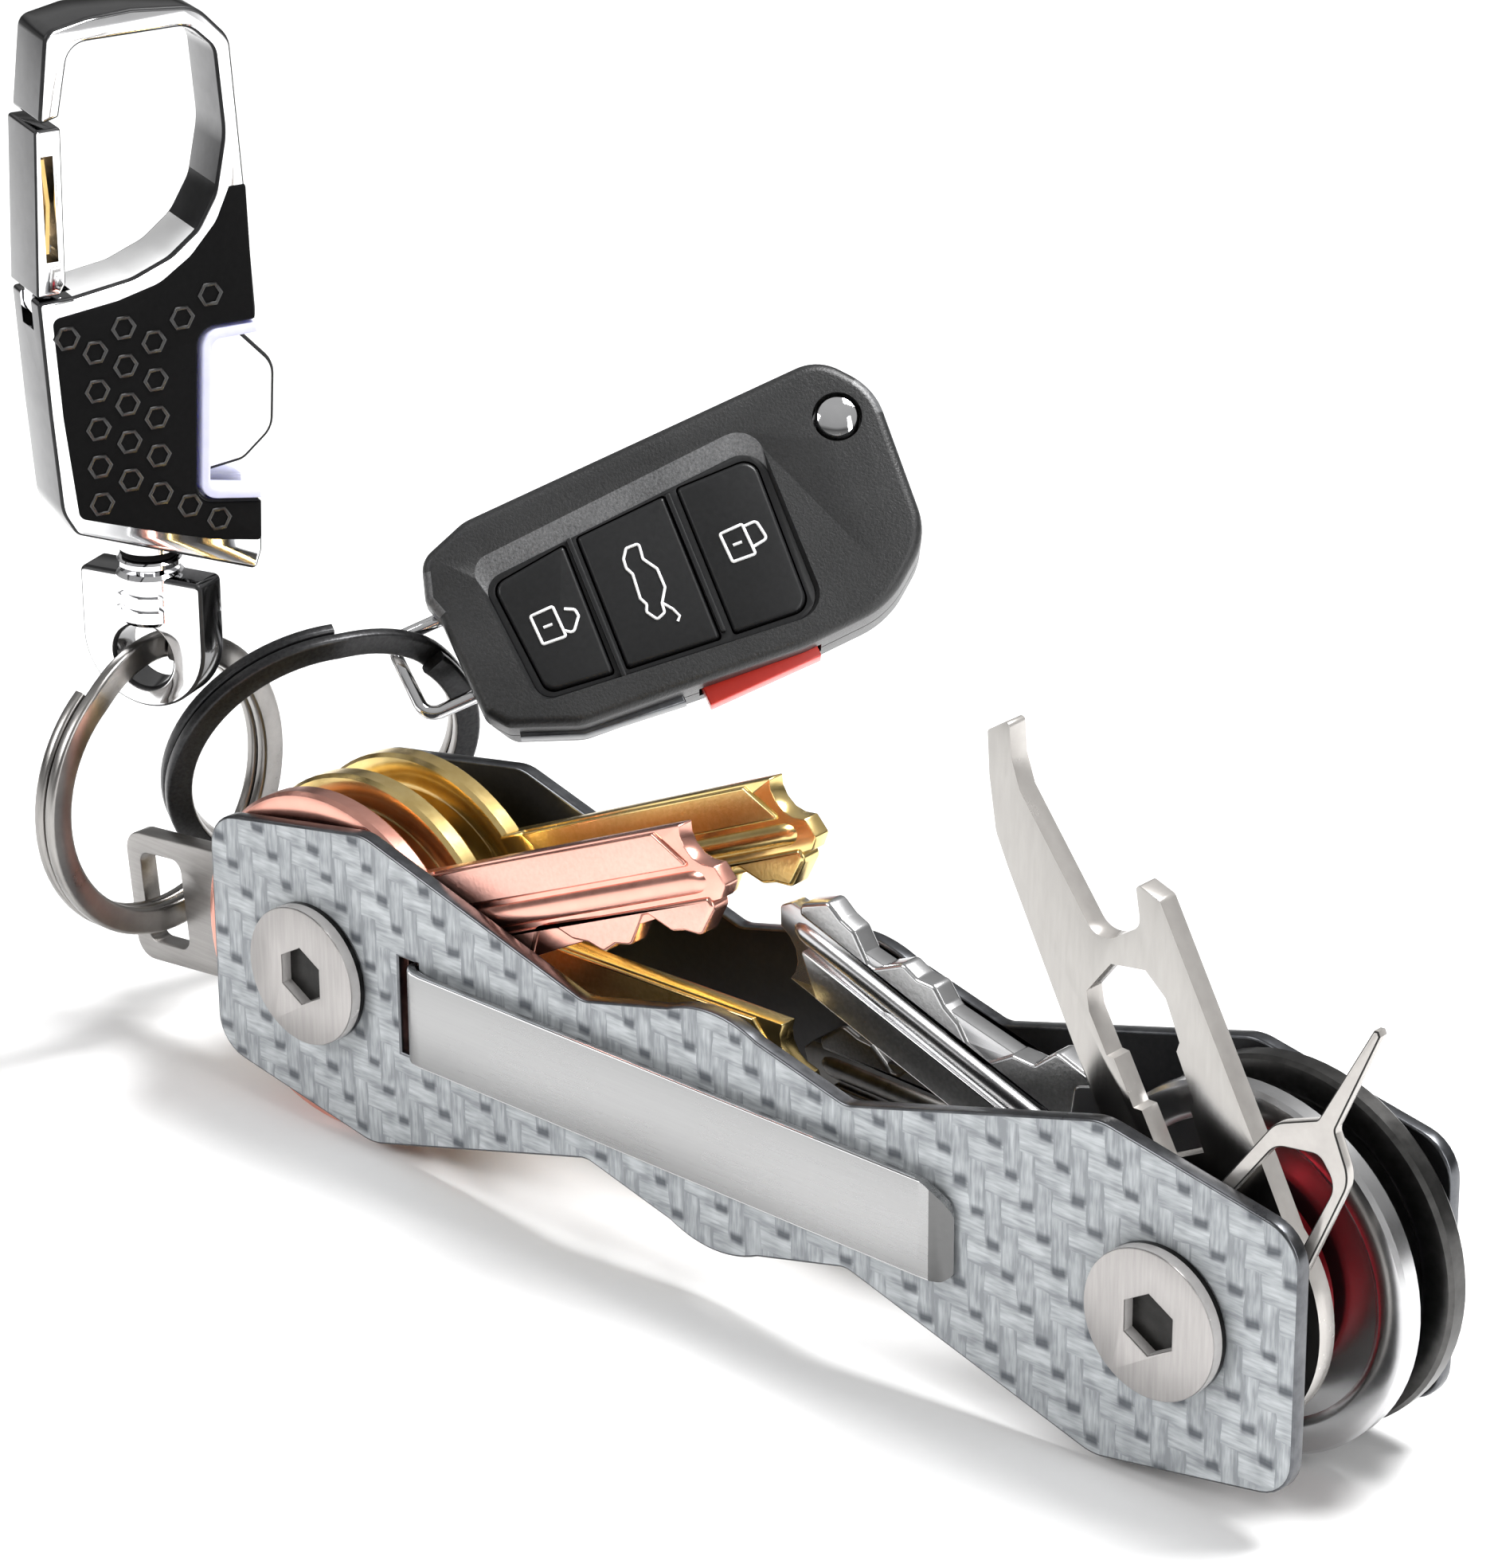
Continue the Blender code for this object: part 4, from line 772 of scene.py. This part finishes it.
link = {"x": -57.9, "y": 4.0, "ringZ": -2.9, "ringR": 10.4, "fobRingR": 11.2}
coil = {"radial": 2.0, "axial": 2.2, "clear": 0.16, "corner": 0.28, "jog": 40.0, "stations": 160}
fobRingCentre = (-55.2, 17.5, 6.2)
fobRingTurn = {"azimuth": 64.6, "tilt": -21.4}


def splitRing(radius, start, inside=0):
    halfR, halfZ = coil["radial"] / 2, (coil["axial"] / 2 - coil["clear"]) / 2
    corners = ((halfR, halfZ), (-halfR, halfZ), (-halfR, -halfZ), (halfR, -halfZ))
    section = rounded([(*corner, coil["corner"]) for corner in corners], 3)
    first = coil["jog"] / 2 + 2.0
    rows = []
    for i in range(coil["stations"] + 1):
        degrees = first + (720.0 - 2 * first) * i / coil["stations"]
        t = min(max((degrees - 360.0) / coil["jog"] + 0.5, 0.0), 1.0)
        lift = (t - 0.5) * coil["axial"] / 2
        a = math.radians(degrees + start)
        rows.append([((radius + out) * math.cos(a), (radius + out) * math.sin(a), lift + up)
                     for out, up in section])
    shape = sweep(rows)
    for face in shape.faces:
        centre = face.calc_center_median()
        if face.normal.dot(Vector((centre.x, centre.y, 0.0)).normalized()) < -0.3:
            face.material_index = inside
    return shape


ringPlace = frameAt((link["x"], link["y"], link["ringZ"]), azimuth=90.0) @ shift(0, link["ringR"])
piece("carabinerRingCoil", splitRing(link["ringR"], 105.0), ringPlace, "carabiner_ring_body", [brushedSteel],
      ["carabiner_ring"])
piece("fobRingCoil", splitRing(link["fobRingR"], 68.0, inside=1), frameAt(fobRingCentre, **fobRingTurn),
      "fob_ring_body", [ringBlack, brushedSteel], ["fob_ring"])


# Swivel: yoke with a grooved barrel, and the pin that carries the carabiner.

yoke = {"z": 17.9, "top": 24.5, "halfT": 1.5, "halfW": 5.05, "eye": 2.4, "bevel": 0.32, "barrel": 2.5,
        "groove": 2.15, "turn": 16.0}
swivel = {"foot": 20.75, "turn": 70.0}


def yokeShape():
    top = yoke["top"] - yoke["z"]
    shoulder = top - 0.35
    outline = rounded([*arc((0.0, 1.15), yoke["halfW"], 180.0, 360.0, 40), (yoke["halfW"], shoulder, 0.5),
                       (-yoke["halfW"], shoulder, 0.5)])
    cheek = panel(outline, -yoke["halfT"], yoke["halfT"], [circle((0.0, 0.0), yoke["eye"])], yoke["bevel"], 4,
                  rimPaint=0, sidePaint=1)
    # The yoke's bevels get painted dark reflection lines.
    paintRimReflection(cheek, 2)
    barrel, floor = yoke["barrel"], yoke["groove"]
    profile = [(0.0, top - 0.15), (barrel - 0.3, top - 0.15), (barrel, top - 0.45)]
    for groove in (1.3, 2.4):
        profile += [(barrel, top - groove), (floor, top - groove - 0.15), (floor, top - groove - 0.35),
                    (barrel, top - groove - 0.5)]
    profile += [(barrel, yoke["eye"] + 0.5), (barrel - 0.4, yoke["eye"] + 0.1), (0.0, yoke["eye"] + 0.1)]
    return joined(cheek, moved(lathe(profile, 48), upright))


def pinTurning():
    foot = swivel["foot"] - yoke["top"]
    profile = [(0.0, 2.45), (2.0, 2.45), (2.15, 2.3), (2.15, 1.45), (1.75, 1.35), (1.75, 0.9), (2.2, 0.8),
               (2.35, 0.65), (2.35, 0.3), (2.2, 0.2), (1.0, 0.2), (1.0, foot + 0.7), (1.45, foot + 0.7),
               (1.45, foot), (0.0, foot)]
    return moved(lathe(profile, 48), upright)


piece("swivelYokeCast", yokeShape(), frameAt((link["x"], link["y"], yoke["z"]), azimuth=yoke["turn"]),
      "yoke_body", [chrome, chromeShade, chromeDarkReflection], ["swivel_yoke"])
carabinerPlace = frameAt((link["x"], link["y"], yoke["top"]), azimuth=swivel["turn"])
piece("swivelPinTurned", pinTurning(), carabinerPlace, "carabiner_body", [chrome], ["swivel_pin"])
seal = lathe([(1.7, 1.33), (2.02, 1.33), (2.1, 1.12), (2.02, 0.92), (1.7, 0.92)], 48, closed=True)
piece("swivelSeal", moved(seal, upright), carabinerPlace, "carabiner_body", [rubber])


# Carabiner: rounded frame, opener lip, rubber grips with hexagon rings, and the gate.

carabiner = {"halfT": 2.6, "bevel": 0.5, "lipHalfT": 0.6, "gateX": -6.9, "gateY": 20.9, "gateBevel": 0.32}


def carabinerShape():
    outer = [(7.2, -0.9, 0.4), (7.7, 0.6, 0.5), (7.75, 4.45, 0.3), (2.9, 5.2, 1.4), (3.55, 17.9, 1.4),
             (7.95, 17.9, 0.3), (8.0, 18.7), (7.6, 27.0), (6.9, 38.6, 2.0), (4.5, 41.2, 3.0), (-0.3, 41.6),
             (-3.6, 41.4), (-6.6, 40.8, 1.0), (-7.4, 34.3, 0.3)]
    inner = [(-5.9, 34.7, 0.3), (-4.9, 39.7, 1.6), (3.9, 39.8, 2.0), (5.7, 38.0, 1.5), (6.15, 31.8, 6.0),
             (5.3, 27.7, 3.0), (3.8, 25.2, 3.0), (1.6, 23.5, 3.0), (-1.2, 22.4, 3.0), (-5.6, 21.75, 0.3)]
    left = [(-8.2, 21.65, 0.3), (-7.8, 13.4, 6.0), (-7.3, 6.0, 3.0), (-6.3, 4.2, 1.0)]
    body = panel(rounded(outer + inner + left), -carabiner["halfT"], carabiner["halfT"],
                 bevel=carabiner["bevel"], steps=4, rimPaint=0, sidePaint=1)
    # The frame's bevels get painted dark reflection lines.
    paintRimReflection(body, 2)
    for face in body.faces:  # painted light in the opening: its floor gets a pale painted reflection, its low inner wall the darkest painted line and its other inner walls the painted shade
        centre = face.calc_center_median()
        inwards = face.normal.x * centre.x < 0.0 or face.normal.y > 0.2
        if abs(face.normal.z) < 0.05 and 21.0 < centre.y < 39.0 and abs(centre.x) < 6.3 and inwards:
            face.material_index = 3 if face.normal.y > 0.7 else 2 if centre.y < 29.0 else 1
    gateSlot = block((-9.4, 19.3, -1.05), (-5.25, 22.9, 1.05))
    pinBore = moved(lathe([(0.0, -2.0), (2.3, -2.0), (2.3, 2.6), (0.0, 2.6)], 40), upright)
    return carved(carved(body, gateSlot), pinBore)


def lipShape():
    outline = rounded([(2.4, 19.2), (6.6, 17.6, 1.5), (10.1, 13.8, 2.2), (9.8, 8.8, 2.0), (7.4, 6.8, 1.5),
                       (2.4, 6.2)])
    return panel(outline, -carabiner["lipHalfT"], carabiner["lipHalfT"], bevel=0.3, rimPaint=1, sidePaint=1)


piece("carabinerCast", carabinerShape(), carabinerPlace, "carabiner_body",
      [chrome, chromeShade, chromeDarkReflection, chromePaleReflection], ["carabiner_frame"], angle=40)
# The lip is painted pale, a painted reflection, with painted dark reflection lines on its rims and sides.
piece("openerLip", lipShape(), carabinerPlace, "carabiner_body", [chromePaleReflection, chromeDarkReflection])

grip = {"floor": 1.77, "face": 2.7, "proud": 2.8, "cell": 1.0, "line": 0.36}
hexagons = ((-6.3, 18.9), (-4.3, 17.55), (-2.1, 19.0), (0.1, 17.6), (2.3, 19.0), (4.5, 20.4), (-2.1, 16.2),
            (0.1, 14.8), (-4.3, 14.7), (-2.1, 13.35), (0.05, 12.0), (-4.35, 11.9), (-2.1, 10.55),
            (0.05, 9.15), (-4.4, 9.1), (-2.15, 7.7), (0.05, 6.3), (-4.4, 6.3), (2.2, 5.0), (4.4, 3.6))
liner = {"width": 0.7, "inner": 0.75, "outer": 2.9}


def between(side, inner, outer):
    return (inner, outer) if side > 0 else (-outer, -inner)


def inlayShape(side):
    outline = rounded([(-7.3, 20.4, 0.6), (-2.4, 21.0, 3.0), (0.8, 21.8, 3.0), (3.2, 23.4, 3.0),
                       (5.2, 25.6, 3.0), (6.3, 28.0), (7.6, 28.0, 0.3), (7.85, 18.02), (3.43, 18.02, 1.4),
                       (2.78, 5.08, 1.4), (7.75, 4.3), (7.65, 1.3, 0.3), (4.0, 2.0, 3.0), (-0.1, 3.3, 3.0),
                       (-6.1, 5.4, 0.8), (-6.9, 13.0, 4.0)])
    outwards = (side < 0, side > 0)
    shapes = [panel(outline, *between(side, grip["floor"], grip["face"]), bevel=0.2, sides=outwards)]
    low, high = between(side, grip["face"] - 0.05, grip["proud"])
    for place in hexagons:
        outerRing, innerRing = (circle(place, grip["cell"] - cut, 6) for cut in (0.0, grip["line"]))
        shapes.append(panel(outerRing, low, high, [innerRing], 0.09, 2, outwards, paint=1))
    return joined(*shapes)


def linerShape(side):
    width = liner["width"]
    outline = rounded([(7.9, 17.75), (3.75, 17.75, 1.3), (3.1, 5.35, 1.3), (7.7, 4.6), (7.7, 4.6 + width),
                       (3.1 + width, 5.35 + width, 0.7), (3.75 + width, 17.75 - width, 0.7),
                       (7.9, 17.75 - width)])
    return panel(outline, *between(side, liner["inner"], liner["outer"]), bevel=0.16)


for side, name in ((1, "front"), (-1, "rear")):
    piece(name + "Grip", inlayShape(side), carabinerPlace, "carabiner_body", [rubber, gripLine],
          [name + "_grip_inlay"])
    piece(name + "Liner", linerShape(side), carabinerPlace, "carabiner_body", [lavender],
          [name + "_notch_liner"])


def gateShape():
    bar = rounded([(-1.35, 1.15, 0.2), (0.35, 1.15, 0.2), (0.8, 1.9, 0.5), (1.05, 13.1, 0.25),
                   (-0.85, 13.1, 0.25)])
    shape = panel(bar, -carabiner["halfT"], carabiner["halfT"], bevel=carabiner["gateBevel"], steps=4,
                  rimPaint=0, sidePaint=1)
    # The gate's bevels get painted dark reflection lines.
    paintRimReflection(shape, 2)
    springSlot = block((-0.55, 3.6, -3.0), (0.35, 11.2, 3.0))
    tongue = rounded([*arc((0.0, 0.0), 1.15, 180.0, 360.0, 20), (1.0, 1.8), (-1.1, 1.8)])
    return joined(carved(shape, springSlot), panel(tongue, -0.8, 0.8, bevel=0.12, steps=2))


gatePlace = carabinerPlace @ shift(carabiner["gateX"], carabiner["gateY"])
piece("carabinerGateCast", gateShape(), gatePlace, "gate_body", [chrome, chromeShade, chromeDarkReflection],
      ["carabiner_gate"], angle=40)
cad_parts["gate_spring"].data.materials[0] = goldLeaf
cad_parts["gate_pin"].data.materials[0] = brushedSteel
print("chain made")


# Key fob. Its frame has x along the case, y across it and z out of the button face.

fob = {"azimuth": 42.0, "tilt": 33.0, "roll": 24.4, "linkAngle": 41.0, "drop": 1.4, "halfT": 3.75,
       "split": 0.1, "pad": 3.1, "button": 3.55, "slotT": 1.35, "blade": (34.2, 5.25)}
ringAlong, ringAcross = axesOf(**fobRingTurn)[:2]
linkTurn = math.radians(fob["linkAngle"])
linkReach = (ringAlong * math.cos(linkTurn) + ringAcross * math.sin(linkTurn)) * link["fobRingR"]
fobPlace = (frameAt(Vector(fobRingCentre) + linkReach, fob["azimuth"], fob["tilt"], fob["roll"])
            @ shift(0, -fob["drop"]))
bladePlace = fobPlace @ shift(*fob["blade"])
fobOutline = rounded([(1.4, -4.2, 1.0), (2.6, -5.8, 1.2), (7.6, -7.9, 3.0), (24.8, -9.4, 8.0),
                      (31.8, -9.2, 7.0), (36.6, -5.6, 5.0), (37.7, 6.2, 5.0), (34.8, 10.0, 3.6),
                      (5.9, 9.65, 3.5), (1.9, 8.3, 2.0), (0.9, 5.3, 0.8), (1.4, 3.6, 1.0)], 9)
padOutline = rounded([(5.3, 4.9, 1.4), (5.7, -5.0, 1.4), (27.2, -7.6, 2.0), (28.0, 5.9, 2.0)])
buttonOutlines = {
    "unlock_button": rounded([(5.9, 4.3, 1.0), (6.3, -4.6, 1.0), (11.3, -5.3, 0.3), (11.9, 4.9, 0.3)]),
    "boot_button": rounded([(13.0, 5.0, 0.3), (12.4, -5.4, 0.3), (19.5, -6.2, 0.3), (20.1, 5.2, 0.3)]),
    "lock_button": rounded([(21.2, 5.3, 0.3), (20.6, -6.3, 0.3), (26.4, -6.9, 1.2), (27.3, 5.1, 1.2)])}


def shellCuts(shape):
    reach = fob["slotT"]
    bladeSlot = block((5.0, 4.6, -reach), (45.0, 14.0, reach))
    bladeRoot = block((30.6, 1.0, -reach), (45.0, 14.0, reach))
    panicOpening = block((16.6, -12.0, -1.3), (26.2, -7.6, 1.3))
    relief = panel([(-1.0, -5.0), (4.0, -5.0), (1.3, 0.7), (-1.0, 0.7)], -9.0, 9.0)  # clears the ring
    relief = moved(relief, Matrix.Rotation(math.radians(90), 4, "X"))
    for tool in (bladeSlot, bladeRoot, panicOpening, relief):
        shape = carved(shape, tool)
    return shape


def widened(outline, gap):
    middle = [sum(p[i] for p in outline) / len(outline) for i in range(2)]
    reach = [max(abs(p[i] - middle[i]) for p in outline) for i in range(2)]
    return [tuple(middle[i] + (p[i] - middle[i]) * (1 + gap / reach[i]) for i in range(2)) for p in outline]


# The buttons lie in a bay with sloping walls; the slope along its upper edge is the widest.

bay = {"middle": 17.0, "spread": 0.035, "topSlope": 1.75, "lowSlope": 0.15, "proud": 0.06}
buttonHoles = [widened(outline, 0.14) for outline in buttonOutlines.values()]


def bayShape():
    lower = [(x, y, fob["pad"]) for x, y in padOutline]
    upper = [(x + (x - bay["middle"]) * bay["spread"], y + (bay["topSlope"] if y > 3.0 else -bay["lowSlope"]),
              fob["halfT"] + bay["proud"]) for x, y in padOutline]
    return sweep([lower, upper])


def upperShell():
    shape = panel(fobOutline, fob["split"], fob["halfT"], bevel=1.5, steps=8, sides=(False, True))
    shape = carved(shape, bayShape())
    for hole in buttonHoles:
        shape = carved(shape, panel(hole, 0.4, 4.0))
    for face in shape.faces:  # the bay's upper slope gets a lighter grained copy, a painted highlight
        centre = face.calc_center_median()
        if 4.4 < centre.y < 7.2 and 3.12 < centre.z < 3.745 and abs(face.normal.z) < 0.99:
            face.material_index = 1
    well = lathe([(0.0, 1.0), (1.85, 1.0), (1.85, 5.0), (0.0, 5.0)], 40)
    return shellCuts(carved(shape, moved(well, shift(*fob["blade"]))))


def lowerShell():
    shape = panel(fobOutline, -fob["halfT"], -fob["split"], bevel=1.15, steps=6, sides=(True, False))
    return shellCuts(shape)


def raised(outline, low, high, bevel, steps):
    return panel(outline, low, high, bevel=bevel, steps=steps, sides=(False, True))


piece("fobUpperShell", upperShell(), fobPlace, "fob_body", [caseGrain, caseHighlight], ["fob_upper_shell"],
      angle=40)
piece("fobLowerShell", lowerShell(), fobPlace, "fob_body", [caseGrain], ["fob_lower_shell"], angle=40)
padFrame = panel(padOutline, fob["pad"] - 0.4, fob["pad"] + 0.12, buttonHoles, 0.06, 2, sides=(False, True))
piece("padFloor", padFrame, fobPlace, "fob_body", [padSmooth])
for name, outline in buttonOutlines.items():
    piece(name + "Cap", raised(outline, 1.1, fob["button"], 0.3, 4), fobPlace, name + "_body", [padSmooth],
          [name])
ribs = []
for x in (12.25, 20.25):
    outline = rounded([(x - 0.05, 5.2, 0.12), (x - 0.55, -5.9, 0.12), (x - 0.15, -5.95, 0.12),
                       (x + 0.35, 5.2, 0.12)])
    ribs.append(raised(outline, fob["pad"], 3.72, 0.1, 2))
piece("padRibs", joined(*ribs), fobPlace, "fob_body", [padSmooth])


# Line icons on the buttons: two padlocks and a car with its boot raised.

icon = {"level": fob["button"] + 0.02, "lockLine": 0.115, "carLine": 0.11}


def stroke(points, x, y, line, closed=False):
    return wire([(x + u, y + v, icon["level"]) for u, v in points], line, 6, closed)


def padlock(x, y, opened):
    body = [(-1.35, 1.15, 0.15), (-1.35, -1.15, 0.15), (0.45, -1.3, 0.15), (0.45, 1.15, 0.15)]
    if opened:
        bow = [(0.5, -0.85), (1.05, -1.3, 0.3), (1.9, -0.3, 0.2), (1.85, 0.25, 0.3), (1.15, 0.62)]
    else:
        bow = [(0.5, 0.95), (1.5, 0.95, 0.3), (1.7, -0.6, 0.3), (0.5, -0.75)]
    line = icon["lockLine"]
    return joined(stroke(rounded(body, 3), x, y, line, True), stroke(rounded(bow, 4), x, y, line),
                  stroke([(-0.8, -0.02), (-0.1, -0.06)], x, y, line))


def carIcon(x, y):
    outline = [(0.75, 2.9), (-0.25, 2.95), (-0.75, 2.3), (-0.85, 1.6), (-0.6, 1.0), (-0.85, -0.9),
               (-0.6, -1.5), (-0.85, -2.0), (-0.35, -2.85), (0.35, -2.6), (0.45, -1.9), (1.15, -0.9),
               (1.2, 0.6), (0.55, 1.7)]
    body = stroke(rounded([(*p, 0.2) for p in outline], 3), x, y, icon["carLine"], True)
    lid = stroke(((0.5, -1.9), (1.0, -2.6), (1.25, -3.3), (0.95, -3.6)), x, y, icon["carLine"])
    return joined(body, lid)


for name, shape in (("unlock", padlock(8.8, -0.1, True)), ("boot", carIcon(16.2, -0.2)),
                    ("lock", padlock(24.0, -0.3, False))):
    piece(name + "Icon", shape, fobPlace, name + "_button_body", [iconPaint])


# The remote's other parts: release and panic buttons, wire bail, edge strip and folded blade.

dome = [(0.0, 4.1), (0.6, 4.07), (1.1, 3.98), (1.45, 3.82), (1.65, 3.5), (1.65, 1.75), (0.0, 1.75)]
piece("releaseCap", lathe(dome, 48), bladePlace, "release_button_body", [chrome], ["release_button"])
panic = block((16.9, -10.1, -1.05), (25.9, -8.2, 1.05))
bmesh.ops.bevel(panic, geom=panic.edges[:], offset=0.14, segments=3, profile=0.5, affect="EDGES",
                clamp_overlap=True, material=-1)
piece("panicCap", panic, fobPlace, "panic_button_body", [panicRed], ["panic_button"])
bail = {"high": 4.3, "low": -2.0, "radius": 0.55}
legs = rounded([(3.0, bail["high"]), (-2.7, bail["high"], 1.2), (-2.5, bail["low"], 1.2),
                (3.0, bail["low"])], 8)
piece("fobWireBail", wire([(x, y, 0.0) for x, y in legs], bail["radius"], 16), fobPlace, "fob_body", [chrome],
      ["fob_wire_loop"])
strip = [(3.4, -5.45), (7.7, -7.2), (15.4, -8.1), (15.4, -9.1), (7.6, -8.2), (3.2, -6.4)]
piece("edgeStrip", panel(strip, -1.0, 1.0, bevel=0.15), fobPlace, "fob_body", [edgeMetal],
      ["fob_edge_strip"])
bladeRoot = arc((0.0, 0.0), 2.7, -90.0, 90.0, 24)
bladeOutline = bladeRoot + [(-4.0, 3.4), (-26.0, 3.2), (-28.0, 1.2), (-26.5, 0.3), (-4.0, 0.0), (-2.6, -0.7)]
piece("fobBladeCut", panel(bladeOutline, -1.05, 1.05, [circle((0.0, 0.0), 0.95)], 0.2), bladePlace,
      "fob_blade_body", [silver], ["fob_blade"])
for node, coating in (("circuit_board", boardGreen), ("coin_cell", silver), ("fob_pivot", brushedSteel),
                      ("flip_spring", brushedSteel)):
    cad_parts[node].data.materials[0] = coating
print("fob made")
